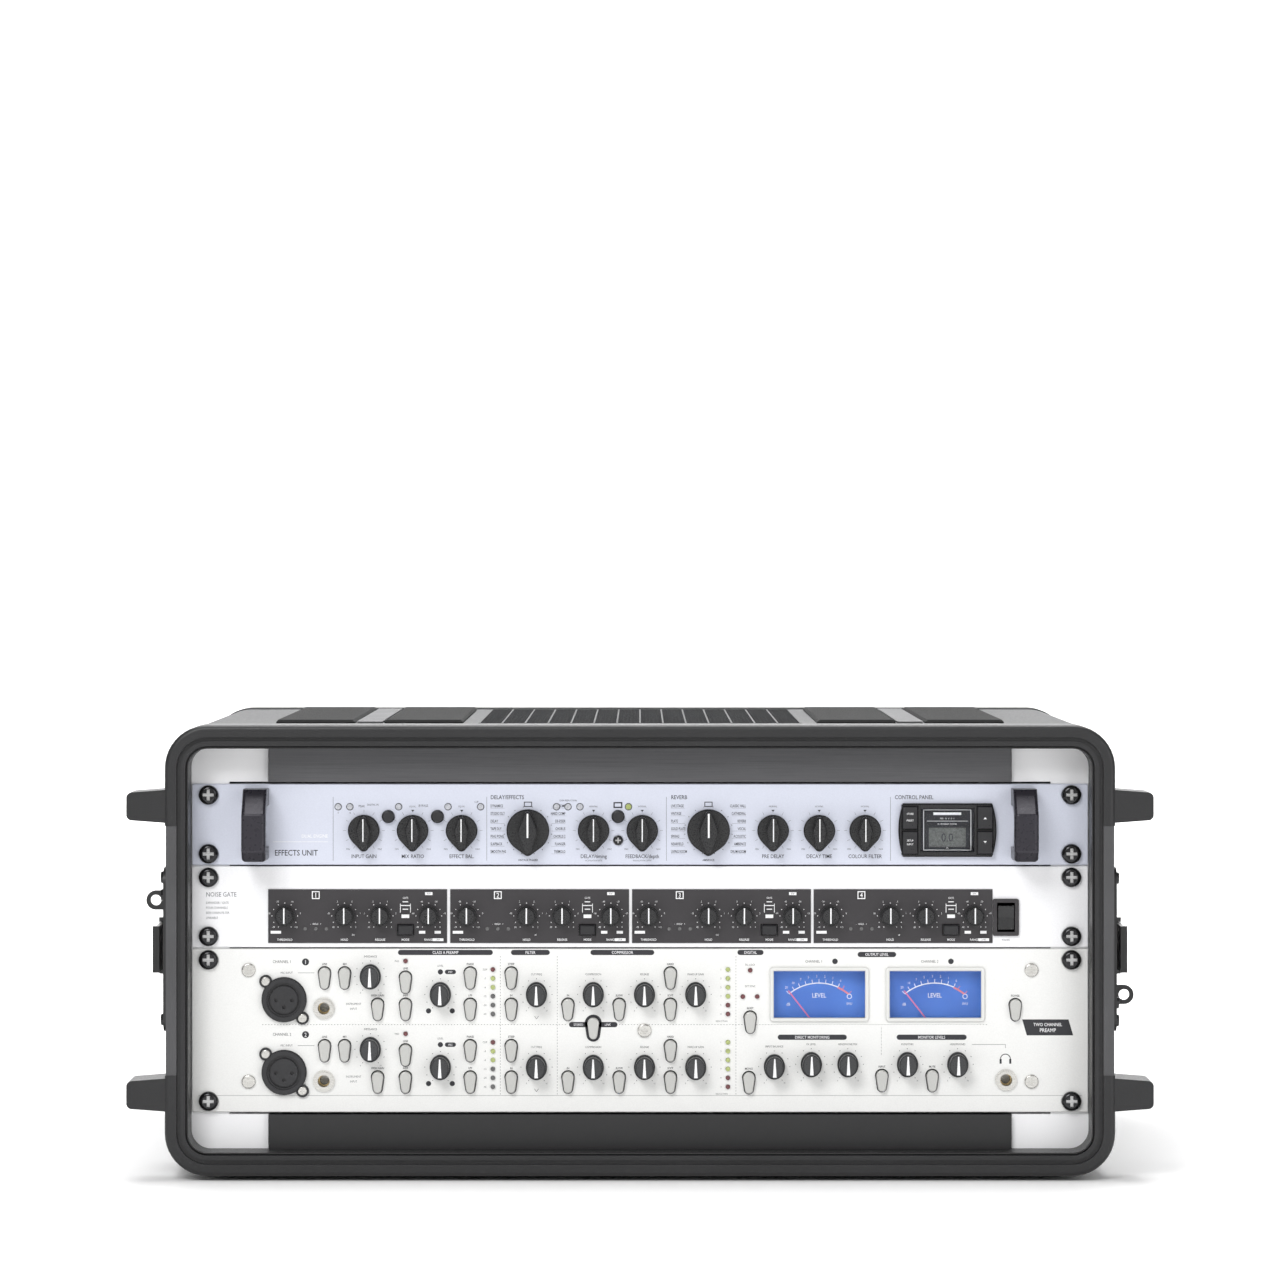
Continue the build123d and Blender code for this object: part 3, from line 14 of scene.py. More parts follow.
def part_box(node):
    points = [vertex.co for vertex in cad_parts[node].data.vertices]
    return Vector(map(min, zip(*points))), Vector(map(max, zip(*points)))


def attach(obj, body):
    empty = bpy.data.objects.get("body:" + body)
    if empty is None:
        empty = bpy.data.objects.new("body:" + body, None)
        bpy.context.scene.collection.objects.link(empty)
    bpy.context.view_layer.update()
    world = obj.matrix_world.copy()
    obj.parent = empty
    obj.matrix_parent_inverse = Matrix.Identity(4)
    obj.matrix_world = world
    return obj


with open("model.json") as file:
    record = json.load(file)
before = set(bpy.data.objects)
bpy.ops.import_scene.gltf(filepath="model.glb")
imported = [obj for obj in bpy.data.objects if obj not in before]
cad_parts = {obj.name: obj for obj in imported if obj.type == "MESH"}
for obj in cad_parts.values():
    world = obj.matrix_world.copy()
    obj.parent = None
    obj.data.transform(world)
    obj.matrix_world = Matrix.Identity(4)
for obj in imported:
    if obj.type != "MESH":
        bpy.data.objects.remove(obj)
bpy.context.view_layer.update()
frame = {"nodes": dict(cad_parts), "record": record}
NODES = frame["nodes"]
MM = 0.001
PRE_FOOT, GATE_FOOT, FX_FOOT = (
    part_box(node)[0].z / MM for node in ("preamp_faceplate", "gate_faceplate", "fx_faceplate")
)


# ---------------------------------------------------------------- materials
# How far across each surface's features are, and how deep its relief is, in metres.
PATCH = 0.05
SPECK = 0.0006
PEEL, PEEL_DEPTH = 0.0018, 0.00003
STREAK, STREAK_DEPTH = 0.0004, 0.00002
WEAR = 0.0008
CLOUD = 0.0012
SMEAR = 0.02
PEBBLE, SHELL_DEPTH = 0.0012, 0.0003
WEAVE_PITCH, WEAVE_HALF_WIDTH = 0.0021, 0.088
NOISE_LOW, NOISE_HIGH = 0.3, 0.7  # most of a noise's values lie between these


def nodes_of(name, colour, roughness, metallic=0.0):
    """A material with its shader, object coordinates and link function."""
    material = bpy.data.materials.new(name)
    material.use_nodes = True
    tree = material.node_tree
    shader = tree.nodes["Principled BSDF"]
    shader.inputs["Base Color"].default_value = (*colour, 1.0)
    shader.inputs["Roughness"].default_value = roughness
    shader.inputs["Metallic"].default_value = metallic
    coords = tree.nodes.new("ShaderNodeTexCoord").outputs["Object"]
    return material, tree, shader, coords


def noise(tree, coords, grain, detail=4.0, stretch=(1, 1, 1)):
    """Noise whose features are about grain metres across, drawn out by stretch."""
    mapping = tree.nodes.new("ShaderNodeMapping")
    mapping.inputs["Scale"].default_value = [1 / (grain * s) for s in stretch]
    tree.links.new(coords, mapping.inputs["Vector"])
    texture = tree.nodes.new("ShaderNodeTexNoise")
    texture.inputs["Scale"].default_value = 1.0
    texture.inputs["Detail"].default_value = detail
    tree.links.new(mapping.outputs["Vector"], texture.inputs["Vector"])
    return texture.outputs["Fac"]


def remap(tree, value, low, high):
    """Spreads a noise's middle range over low to high."""
    node = tree.nodes.new("ShaderNodeMapRange")
    node.inputs["From Min"].default_value = NOISE_LOW
    node.inputs["From Max"].default_value = NOISE_HIGH
    node.inputs["To Min"].default_value = low
    node.inputs["To Max"].default_value = high
    tree.links.new(value, node.inputs["Value"])
    return node.outputs["Result"]


def blend_colours(tree, factor, first, second):
    """A colour between two, by a factor from 0 to 1."""
    node = tree.nodes.new("ShaderNodeMix")
    node.data_type = "RGBA"
    tree.links.new(factor, node.inputs["Factor"])
    node.inputs["A"].default_value = (*first, 1.0)
    node.inputs["B"].default_value = (*second, 1.0)
    return node.outputs["Result"]


def bump(tree, shader, height, depth, strength=0.6):
    """Raises the surface by up to depth metres where height is 1."""
    node = tree.nodes.new("ShaderNodeBump")
    node.inputs["Strength"].default_value = strength
    node.inputs["Distance"].default_value = depth
    tree.links.new(height, node.inputs["Height"])
    tree.links.new(node.outputs["Normal"], shader.inputs["Normal"])


def shade(colour, factor):
    """A colour made darker or lighter by a factor."""
    return tuple(min(1.0, c * factor) for c in colour)


def moulded(name, colour, roughness=0.5, grain=0.0009, depth=0.00012, vary=0.12):
    """Moulded plastic or rubber: a pebbled skin with slightly uneven colour and sheen."""
    material, tree, shader, coords = nodes_of(name, colour, roughness)
    patches = remap(tree, noise(tree, coords, PATCH, detail=2.0), 0.0, 1.0)
    colours = blend_colours(tree, patches, shade(colour, 1 - vary), shade(colour, 1 + vary))
    tree.links.new(colours, shader.inputs["Base Color"])
    fine = noise(tree, coords, grain)
    tree.links.new(remap(tree, fine, roughness - 0.08, roughness + 0.08), shader.inputs["Roughness"])
    bump(tree, shader, fine, depth)
    return material


def painted(name, colour, roughness=0.35, metallic=0.0, vary=0.03):
    """Sprayed metal: a faint orange peel and fine specks."""
    material, tree, shader, coords = nodes_of(name, colour, roughness, metallic)
    specks = remap(tree, noise(tree, coords, SPECK), 0.0, 1.0)
    colours = blend_colours(tree, specks, shade(colour, 1 - vary), shade(colour, 1 + vary))
    tree.links.new(colours, shader.inputs["Base Color"])
    peel = noise(tree, coords, PEEL, detail=1.0)
    tree.links.new(remap(tree, peel, roughness - 0.04, roughness + 0.04), shader.inputs["Roughness"])
    bump(tree, shader, peel, PEEL_DEPTH, strength=0.4)
    return material


def brushed(name, colour, roughness=0.35, metallic=1.0):
    """Metal brushed along X."""
    material, tree, shader, coords = nodes_of(name, colour, roughness, metallic)
    streaks = noise(tree, coords, STREAK, stretch=(120, 1, 1))
    tree.links.new(remap(tree, streaks, roughness - 0.1, roughness + 0.12), shader.inputs["Roughness"])
    colours = blend_colours(tree, remap(tree, streaks, 0.0, 1.0), shade(colour, 0.85), shade(colour, 1.15))
    tree.links.new(colours, shader.inputs["Base Color"])
    bump(tree, shader, streaks, STREAK_DEPTH, strength=0.5)
    return material


def ink(name, colour):
    """Screen printing: dense, flat, a little uneven at its edges' scale."""
    material, tree, shader, coords = nodes_of(name, colour, 0.55)
    wear = remap(tree, noise(tree, coords, WEAR), 0.0, 1.0)
    colours = blend_colours(tree, wear, shade(colour, 0.9), shade(colour, 1.12))
    tree.links.new(colours, shader.inputs["Base Color"])
    return material


def lens(name, colour, glow=0.0):
    """A tinted lamp lens, lit if glow is above 0."""
    material, tree, shader, coords = nodes_of(name, colour, 0.18)
    cloud = remap(tree, noise(tree, coords, CLOUD), 0.0, 1.0)
    colours = blend_colours(tree, cloud, shade(colour, 0.75), shade(colour, 1.2))
    tree.links.new(colours, shader.inputs["Base Color"])
    shader.inputs["Coat Weight"].default_value = 0.6
    shader.inputs["Emission Color"].default_value = (*colour, 1.0)
    shader.inputs["Emission Strength"].default_value = glow
    return material


def clear(name):
    """A clear polished window."""
    material, tree, shader, coords = nodes_of(name, (0.96, 0.98, 1.0), 0.03)
    shader.inputs["Transmission Weight"].default_value = 1.0
    shader.inputs["IOR"].default_value = 1.1
    smears = noise(tree, coords, SMEAR, detail=2.0)
    tree.links.new(remap(tree, smears, 0.0, 0.05), shader.inputs["Roughness"])
    return material


def shell_skin(name, colour):
    """The sleeve: pebbled sides, and a fine cross hatch in the middle of the top."""
    material, tree, shader, coords = nodes_of(name, colour, 0.5)
    pebble = noise(tree, coords, PEBBLE)
    weave = tree.nodes.new("ShaderNodeTexVoronoi")
    weave.distance = "CHEBYCHEV"
    weave.inputs["Scale"].default_value = 1 / WEAVE_PITCH
    weave.inputs["Randomness"].default_value = 0.0
    tree.links.new(coords, weave.inputs["Vector"])
    split = tree.nodes.new("ShaderNodeSeparateXYZ")
    tree.links.new(coords, split.inputs["Vector"])
    across = tree.nodes.new("ShaderNodeMath")
    across.operation = "ABSOLUTE"
    tree.links.new(split.outputs["X"], across.inputs[0])
    inside = tree.nodes.new("ShaderNodeMath")
    inside.operation = "LESS_THAN"
    inside.inputs[1].default_value = WEAVE_HALF_WIDTH
    tree.links.new(across.outputs["Value"], inside.inputs[0])
    height = tree.nodes.new("ShaderNodeMix")
    tree.links.new(inside.outputs["Value"], height.inputs["Factor"])
    tree.links.new(pebble, height.inputs["A"])
    tree.links.new(weave.outputs["Distance"], height.inputs["B"])
    relief = height.outputs["Result"]
    colours = blend_colours(tree, relief, shade(colour, 0.75), shade(colour, 1.25))
    tree.links.new(colours, shader.inputs["Base Color"])
    tree.links.new(remap(tree, pebble, 0.42, 0.6), shader.inputs["Roughness"])
    bump(tree, shader, relief, SHELL_DEPTH)
    return material


FINISH = {
    "shell": shell_skin("shell_skin", (0.035, 0.036, 0.039)),
    "frame": moulded("frame_plastic", (0.011, 0.011, 0.012), 0.42),
    "strip": moulded("strip_plastic", (0.06, 0.06, 0.063), 0.36, grain=0.0015),
    "pad": moulded("pad_rubber", (0.005, 0.005, 0.005), 0.9, grain=0.0007, depth=0.0003),
    "rail_zinc": painted("rail_paint", (0.93, 0.93, 0.94), 0.35, vary=0.01),
    "rail_rear": painted("rear_rail_paint", (0.25, 0.25, 0.26), 0.35),
    "bar": brushed("bar_aluminium", (0.1, 0.1, 0.105), 0.42, metallic=0.6),
    "tray": painted("tray_paint", (0.012, 0.012, 0.012), 0.25),
    "latch_metal": painted("latch_plate_coat", (0.02, 0.02, 0.021), 0.4),
    "latch_lever": painted("latch_lever_coat", (0.012, 0.012, 0.012), 0.32),
    "screw": painted("black_screw", (0.035, 0.035, 0.037), 0.2, metallic=0.8),
    "fx_panel": painted("fx_panel_paint", (0.62, 0.645, 0.74), 0.35, metallic=0.15),
    "gate_panel": painted("gate_panel_paint", (0.86, 0.86, 0.875), 0.4),
    "pre_panel": painted("pre_panel_paint", (0.8, 0.8, 0.785), 0.4),
    "box_metal": painted("enclosure_coat", (0.02, 0.02, 0.021), 0.45),
    "handle": painted("handle_coat", (0.028, 0.026, 0.034), 0.3, metallic=0.4),
    "bezel": moulded("bezel_plastic", (0.012, 0.012, 0.013), 0.3, grain=0.0005, depth=0.00004),
    "window": clear("window_clear"),
    "button_black": moulded("button_plastic", (0.015, 0.015, 0.017), 0.35, depth=0.00004),
    "gate_print": painted("gate_strip_paint", (0.03, 0.027, 0.03), 0.4),
    "knob_black": moulded("knob_plastic", (0.015, 0.015, 0.016), 0.3, grain=0.0006, depth=0.00005),
    "rocker": moulded("rocker_plastic", (0.012, 0.012, 0.013), 0.2, depth=0.00002),
    "button_silver": painted("silver_button", (0.52, 0.52, 0.5), 0.32, metallic=0.2),
    "meter_frame": painted("meter_frame_lacquer", (0.7, 0.7, 0.68), 0.4, vary=0.01),
    "needle": painted("needle_paint", (0.75, 0.2, 0.35), 0.5),
    "socket": moulded("socket_plastic", (0.018, 0.018, 0.02), 0.35, depth=0.00004),
    "lamp": lens("lamp_clear", (0.45, 0.46, 0.5)),
    "board": painted("board_mask", (0.02, 0.12, 0.04), 0.4),
    "knob_grey": moulded("grey_knob", (0.035, 0.036, 0.038), 0.32, grain=0.0006, depth=0.00005),
}
BLACK_INK = ink("black_ink", (0.02, 0.02, 0.025))
GREY_INK = ink("grey_ink", (0.09, 0.09, 0.1))
WHITE_INK = ink("white_ink", (0.85, 0.85, 0.86))

for part in frame["record"]["subparts"]:
    NODES[part["node"]].data.materials.clear()
    NODES[part["node"]].data.materials.append(FINISH[part["material_slot"]])


# ---------------------------------------------------------------- drawing helpers
CAP_HEIGHT = 0.691  # capitals of the built-in font, per unit of size
CIRCLE = (0, 345, 23)  # start, end and steps of a closed circle of 24 points
DOT = (0, 300, 5)  # and of a dot's six points
BUTTON_HEAD, BUTTON_HEAD_R = 2.7, 3.1  # centres above and below a teardrop button's middle, and radii
BUTTON_FOOT, BUTTON_FOOT_R = 3.6, 2.2
WRITER = bpy.data.objects.new("writer", bpy.data.curves.new("writer", "FONT"))
WRITER.data.resolution_u = 2
PRINT_FEET = {  # print on these pieces is measured from the foot of their panel
    "gate_channel_panels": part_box("gate_faceplate")[0].z,
    "fx_buttons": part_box("fx_faceplate")[0].z,
}


def solids(node):
    """The separate solids of a CAD node, each as (X, Z of its middle in mm, its polygons)."""
    mesh = NODES[node].data
    index = {}
    spot = [index.setdefault(tuple(round(c, 6) for c in v.co), len(index)) for v in mesh.vertices]
    leader = list(range(len(index)))

    def find(i):
        while leader[i] != i:
            leader[i] = leader[leader[i]]
            i = leader[i]
        return i

    for polygon in mesh.polygons:
        first = find(spot[polygon.vertices[0]])
        for vertex in polygon.vertices[1:]:
            leader[find(spot[vertex])] = first
    groups = {}
    for polygon in mesh.polygons:
        groups.setdefault(find(spot[polygon.vertices[0]]), []).append(polygon)
    found = []
    for polygons in groups.values():
        places = [mesh.vertices[v].co for p in polygons for v in p.vertices]
        xs, zs = [p.x for p in places], [p.z for p in places]
        found.append(((min(xs) + max(xs)) / 2 / MM, (min(zs) + max(zs)) / 2 / MM, polygons))
    return found


def piece(name, mesh, body, *materials, slot=None):
    """A finished mesh piece that rides on a body."""
    data = bpy.data.meshes.new(name)
    mesh.to_mesh(data)
    mesh.free()
    for material in materials:
        data.materials.append(material)
    obj = bpy.data.objects.new(name, data)
    bpy.context.scene.collection.objects.link(obj)
    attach(obj, body)
    return obj


def arc_points(x, z, radius, start, end, steps):
    """Points on an arc. Angles run clockwise from twelve o'clock, in degrees."""
    turns = [math.radians(start + (end - start) * i / steps) for i in range(steps + 1)]
    return [(x + radius * math.sin(t), z + radius * math.cos(t)) for t in turns]


def capsule_points(x, z, width, height, steps=6):
    """The outline of a flat-sided pill."""
    r = height / 2
    side = width / 2 - r
    return arc_points(x + side, z, r, 0, 180, steps) + arc_points(x - side, z, r, 180, 360, steps)


def teardrop_points(x, z, grow=0.0):
    """The outline of a preamplifier button: wide at the head, narrow at the foot."""
    head = arc_points(x, z + BUTTON_HEAD, BUTTON_HEAD_R + grow, -98, 98, 16)
    foot = arc_points(x, z - BUTTON_FOOT, BUTTON_FOOT_R + grow, 98, 262, 10)
    return head + foot


class Print:
    """Flat printing on one panel, in one ink."""

    def __init__(self, name, panel, material, lift=0.04):
        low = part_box(panel)[0]
        self.name, self.material = name, material
        self.y = low.y - lift * MM
        self.foot = PRINT_FEET.get(panel, low.z)
        self.mesh = bmesh.new()

    def point(self, x, z):
        return self.mesh.verts.new((x * MM, self.y, self.foot + z * MM))

    def shape(self, points):
        """A filled outline."""
        self.mesh.faces.new([self.point(x, z) for x, z in points])

    def band(self, outer, inner):
        """The strip between two outlines with equal numbers of points."""
        outside = [self.point(x, z) for x, z in outer]
        inside = [self.point(x, z) for x, z in inner]
        for i in range(len(outside)):
            j = (i + 1) % len(outside)
            self.mesh.faces.new((outside[i], outside[j], inside[j], inside[i]))

    def line(self, x1, z1, x2, z2, width=0.25):
        along = Vector((x2 - x1, z2 - z1)).normalized() * width / 2
        dx, dz = -along.y, along.x
        self.shape([(x1 + dx, z1 + dz), (x1 - dx, z1 - dz), (x2 - dx, z2 - dz), (x2 + dx, z2 + dz)])

    def box(self, x, z, width, height):
        w, h = width / 2, height / 2
        self.shape([(x - w, z - h), (x + w, z - h), (x + w, z + h), (x - w, z + h)])

    def frame(self, x, z, width, height, line=0.3):
        w, h, t = width / 2, height / 2, line
        outer = [(x - w, z - h), (x + w, z - h), (x + w, z + h), (x - w, z + h)]
        inner = [
            (x - w + t, z - h + t),
            (x + w - t, z - h + t),
            (x + w - t, z + h - t),
            (x - w + t, z + h - t),
        ]
        self.band(outer, inner)

    def disc(self, x, z, radius):
        self.shape(arc_points(x, z, radius, *CIRCLE))

    def ring(self, x, z, radius, line=0.25):
        self.band(arc_points(x, z, radius, *CIRCLE), arc_points(x, z, radius - line, *CIRCLE))

    def arc(self, x, z, radius, start, end, line, steps=20):
        """An open arc of the given line width, inside radius."""
        outer = arc_points(x, z, radius, start, end, steps)
        inner = arc_points(x, z, radius - line, end, start, steps)
        self.shape(outer + inner)

    def ticks(self, x, z, inner, outer, start=-150, end=150, count=11, width=0.25):
        """Radial scale marks round a control."""
        for i in range(count):
            turn = math.radians(start + (end - start) * i / (count - 1))
            dx, dz = math.sin(turn), math.cos(turn)
            self.line(x + inner * dx, z + inner * dz, x + outer * dx, z + outer * dz, width)

    def dots(self, x, z, radius, start=-150, end=150, count=11, size=0.3):
        """Dots round a control."""
        for dot_x, dot_z in arc_points(x, z, radius, start, end, count - 1):
            self.shape(arc_points(dot_x, dot_z, size, *DOT))

    def arrow(self, x, z, size, up=False):
        tip = size if up else -size
        self.shape([(x - size, z), (x + size, z), (x, z + 1.2 * tip)])

    def text(self, words, x, z, cap=1.5, align="CENTER", narrow=0.85, bold=0.0):
        """Words whose capitals are cap millimetres tall, standing on z."""
        curve = WRITER.data
        curve.body, curve.align_x, curve.size = words, align, cap / CAP_HEIGHT
        curve.offset = bold
        glyphs = bpy.data.meshes.new_from_object(WRITER)
        place = Matrix.Translation((x * MM, self.y, self.foot + z * MM))
        place @= Matrix.Rotation(math.pi / 2, 4, "X") @ Matrix.Diagonal((MM * narrow, MM, MM, 1))
        glyphs.transform(place)
        self.mesh.from_mesh(glyphs)
        bpy.data.meshes.remove(glyphs)

    def done(self, body="case"):
        return piece(self.name, self.mesh, body, self.material)


def labels(layer, table, drop=0.0):
    """Words from rows of X, Z, capitals' height and words, lowered by drop."""
    for x, z, cap, words in table:
        layer.text(words, x, z - drop, cap)


def middle(node):
    """A control's X, and the Z of its lowest and highest points, in millimetres."""
    low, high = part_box(node)
    return (low.x + high.x) / 2 / MM, low.z / MM, high.z / MM


def add_slab(mesh, corners, push):
    """Adds a solid to a mesh: a flat outline drawn out by the vector push."""
    face = mesh.faces.new([mesh.verts.new(corner) for corner in corners])
    grown = bmesh.ops.extrude_face_region(mesh, geom=[face])
    for vert in grown["geom"]:
        if isinstance(vert, bmesh.types.BMVert):
            vert.co += Vector(push)


# ---------------------------------------------------------------- effects processor print
FX_KNOBS = {
    "fx_gain_knob": ("INPUT GAIN", ""),
    "fx_mix_knob": ("MIX RATIO", "EQUAL"),
    "fx_balance_knob": ("EFFECT BAL.", "EQUAL"),
    "fx_delay_knob": ("DELAY/timing", "NORMAL"),
    "fx_feedback_knob": ("FEEDBACK/depth", "NORMAL"),
    "fx_predelay_knob": ("PRE DELAY", "NORMAL"),
    "fx_decay_knob": ("DECAY TIME", "NORMAL"),
    "fx_colour_knob": ("COLOUR FILTER", "NORMAL"),
}
EFFECTS = (
    ("DYNAMICS", "STUDIO DLY", "DELAY", "TAPE DLY", "PING PONG", "SLAPBACK", "SMOOTH PHS"),
    ("COMP", "HARD COMP", "DE-ESSER", "CHORUS", "CHORUS 2", "FLANGER", "TREMOLO"),
)
REVERBS = (
    ("LIVE STAGE", "VINTAGE", "PLATE", "GOLD PLATE", "SPRING", "NEARFIELD", "LIVING ROOM"),
    ("CLASSIC HALL", "CATHEDRAL", "REVERB", "VOCAL", "ACOUSTIC", "AMBIENCE", "DRUM ROOM"),
)


FX_ROW = 18.5  # the knobs' row, the icons' row and the rest, above the panel's foot
FX_ICON_ROW = 32.6
FX_HEADING_ROW = 35.4
FX_TITLE_ROW = 3.6
FX_TICK_R = (9.6, 11.2)
FX_DIVIDERS = (-165.4, -82.6, 14.2, 135.0)
DIVIDER_FOOT, DIVIDER_HEAD = 2.2, 36.6
SELECTORS = (  # node, heading, words on the left and right, word below
    ("fx_effect_selector", "DELAY/EFFECTS", EFFECTS, "VINTAGE PHASER"),
    ("fx_reverb_selector", "REVERB", REVERBS, "AMBIENCE"),
)
SELECTOR_DOTS_R = 12.9
LIST_TOP, LIST_PITCH = 31.0, 4.1
LIST_INNER, LIST_OUTER = 12.6, 20.2  # ends of the lists' lines, from the selector's axis
FX_DARK_LABELS = (  # X, Z, capitals' height, words
    (-144.0, 31.9, 1.0, "DIGITAL IN"),
    (-116.8, 31.2, 1.3, "BYPASS"),
    (-150.0, 31.0, 1.2, "PEAK"),
    (-88.2, 33.5, 0.9, "CLIP"),
    (-38.8, 34.2, 0.9, "GAIN REDUCTION"),
)
FX_GREY_LABELS = (
    (-25.0, 1.9, 0.8, "MODULATION RATE"),
    (1.2, 1.9, 0.8, "MODULATION DEPTH"),
    (-162.7, 27.6, 1.1, "0"),
    (-156.4, 27.6, 1.1, "-6"),
)
LAMP_RING_R = 2.0


def fx_knob_legends(dark, grey):
    """The scale, end marks and title of each knob."""
    for node, (title, above) in FX_KNOBS.items():
        x = middle(node)[0]
        grey.ticks(x, FX_ROW, *FX_TICK_R, width=0.14)
        dark.text(title, x, FX_TITLE_ROW, 2.0, bold=0.02)
        if above:
            dark.arrow(x, 29.6, 0.9)
            grey.text(above, x, 31.0, 0.9)
        for side, word in ((-1, "MIN"), (1, "MAX")):
            grey.text(word, x + side * 8.6, 8.0, 0.9)


def selector_legends(dark, grey):
    """The heading, ring of dots, icon and lists of words of each selector."""
    for node, heading, lists, word_below in SELECTORS:
        x = middle(node)[0]
        dark.text(heading, x - LIST_OUTER, FX_HEADING_ROW, 2.1, "LEFT", bold=0.03)
        dark.text(word_below, x, 2.0, 1.1, bold=0.02)
        dark.frame(x, FX_ICON_ROW, 4.4, 2.8, 0.45)
        grey.dots(x, FX_ROW, SELECTOR_DOTS_R, -165, 165, 16, 0.28)
        for side, align, words in zip((-1, 1), ("LEFT", "RIGHT"), lists):
            for row, word in enumerate(words):
                z = LIST_TOP - LIST_PITCH * row
                dark.text(word, x + side * LIST_OUTER, z, 1.5, align, narrow=0.62, bold=0.03)
                grey.line(x + side * LIST_INNER, z - 0.5, x + side * LIST_OUTER, z - 0.5, 0.1)


def fx_print():
    panel = "fx_faceplate"
    dark = Print("fx_legends_dark", panel, BLACK_INK)
    grey = Print("fx_legends_grey", panel, GREY_INK)
    white = Print("fx_legends_white", panel, WHITE_INK)
    for x in FX_DIVIDERS:
        grey.line(x, DIVIDER_FOOT, x, DIVIDER_HEAD, 0.18)
    fx_knob_legends(dark, grey)
    selector_legends(dark, grey)
    labels(dark, FX_DARK_LABELS)
    labels(grey, FX_GREY_LABELS)
    dark.text("CONTROL PANEL", 137.3, FX_HEADING_ROW, 2.1, "LEFT", bold=0.03)
    dark.frame(-11.9, 32.2, 4.8, 3.2, 0.7)
    for x, z, _ in solids("indicator_lamps"):
        if z > FX_FOOT:
            grey.ring(x, z - FX_FOOT, LAMP_RING_R, 0.35)
    dark.text("EFFECTS UNIT", -197.0, 5.0, 3.0, "LEFT", bold=0.04)
    white.text("DUAL ENGINE", -168.2, 14.6, 1.8, "RIGHT")
    white.line(-198.0, 12.4, -168.2, 12.4, 0.2)
    for layer in (dark, grey, white):
        layer.done()


fx_print()


# ---------------------------------------------------------------- display
DISPLAY_X, DISPLAY_ROW, KEY_X = 165.6, 18.8, 20.2
CARD_SIZE, BORDER_SIZE, LCD_SIZE = (28.8, 23.3), (25.8, 22.0), (19.9, 10.3)
LCD_ROW = 14.9
DISPLAY_LABELS = (  # X, Z, capitals' height, words
    (DISPLAY_X, 24.6, 0.8, "MIN  -12  -6  -3  -1"),
    (DISPLAY_X, 21.6, 0.8, "IN  PROGRAM  DIGITAL"),
)
KEY_LABELS = (
    (DISPLAY_X - KEY_X, 27.2, 1.0, "STORE"),
    (DISPLAY_X - KEY_X, 23.6, 1.0, "PRESET"),
    (DISPLAY_X - KEY_X, 12.8, 1.0, "SETUP"),
    (DISPLAY_X - KEY_X, 10.8, 1.0, "INPUT"),
)
KEY_ARROWS = ((24.8, True), (13.0, False))  # Z, and whether it points up


def display_print():
    """The display's LCD, its printed frame and legends, and the marks on its keys."""
    back = Print("fx_display_card", "fx_faceplate", BLACK_INK, lift=0.2)
    back.box(DISPLAY_X, DISPLAY_ROW, *CARD_SIZE)
    back.done()
    glass = Print("fx_display_lcd", "fx_faceplate", lens("lcd_grey", (0.13, 0.135, 0.13)), lift=0.6)
    glass.box(DISPLAY_X, LCD_ROW, *LCD_SIZE)
    glass.done()
    lit = Print("fx_display_legends", "fx_faceplate", WHITE_INK, lift=0.7)
    lit.frame(DISPLAY_X, DISPLAY_ROW, *BORDER_SIZE, 0.35)
    lit.box(DISPLAY_X, 27.6, 15.0, 1.4)
    labels(lit, DISPLAY_LABELS)
    lit.line(DISPLAY_X - 11, 23.6, DISPLAY_X + 11, 23.6, 0.2)
    lit.ticks(DISPLAY_X, 8.9, 0.2, 0.7, -80, 80, 4, 0.2)
    lit.done()
    digits = Print("fx_display_digits", "fx_faceplate", BLACK_INK, lift=0.65)
    digits.text("0.0", DISPLAY_X, 12.6, 4.4)
    digits.done()
    keys = Print("fx_key_marks", "fx_buttons", WHITE_INK)
    labels(keys, KEY_LABELS)
    for z, up in KEY_ARROWS:
        keys.arrow(DISPLAY_X + KEY_X, z, 0.9, up)
    keys.done("fx_buttons")


display_print()


# ---------------------------------------------------------------- gate print
GATE_CHANNELS = (-200.4, -102.3, -4.3, 93.6)  # left edges
GATE_KNOBS = ((9.0, "THRESHOLD"), (41.2, "HOLD"), (60.4, "RELEASE"), (86.6, "RANGE"))
GATE_ROW = 17.0
GATE_TITLE_ROW = 3.6
GATE_NUMBER_X, GATE_MODE_X, GATE_UNIT_X = 25.7, 74.0, 46.0  # from a channel's left edge
EXP_X, LINK_X = 86.6, 91.6
GATE_TAGS = ((4.2, 5.6), (83.0, 3.4), (91.4, 3.4))  # X from the left edge, and width
MODE_BARS = (3.0, 5.4, 3.0)  # widths, from the top down
GATE_HEADING_X = -234.0
GATE_HEADINGS = ("EXPANDER / GATE", "FOUR CHANNELS", "SIDE CHAIN FILTER", "LINKABLE")
GATE_NUMERALS = {
    "THRESHOLD": ("-70", "-50", "-30", "-10", "0", "+15"),
    "HOLD": (".02", ".05", ".2", ".5", "1", "2"),
    "RELEASE": (".05", ".1", ".5", "1", "2", "4"),
    "RANGE": ("-80", "-60", "-40", "-20", "-10", "0"),
}


def gate_knob_legends(white, left):
    """The dots, numerals and title round each knob of a channel."""
    for dx, title in GATE_KNOBS:
        x = left + dx
        white.dots(x, GATE_ROW, 6.9, count=11, size=0.28)
        places = arc_points(x, GATE_ROW - 0.4, 8.6, -135, 135, 5)
        for word, (word_x, word_z) in zip(GATE_NUMERALS[title], places):
            white.text(word, word_x, word_z, 0.9)
        white.text(title, x, GATE_TITLE_ROW, 1.2, bold=0.01)


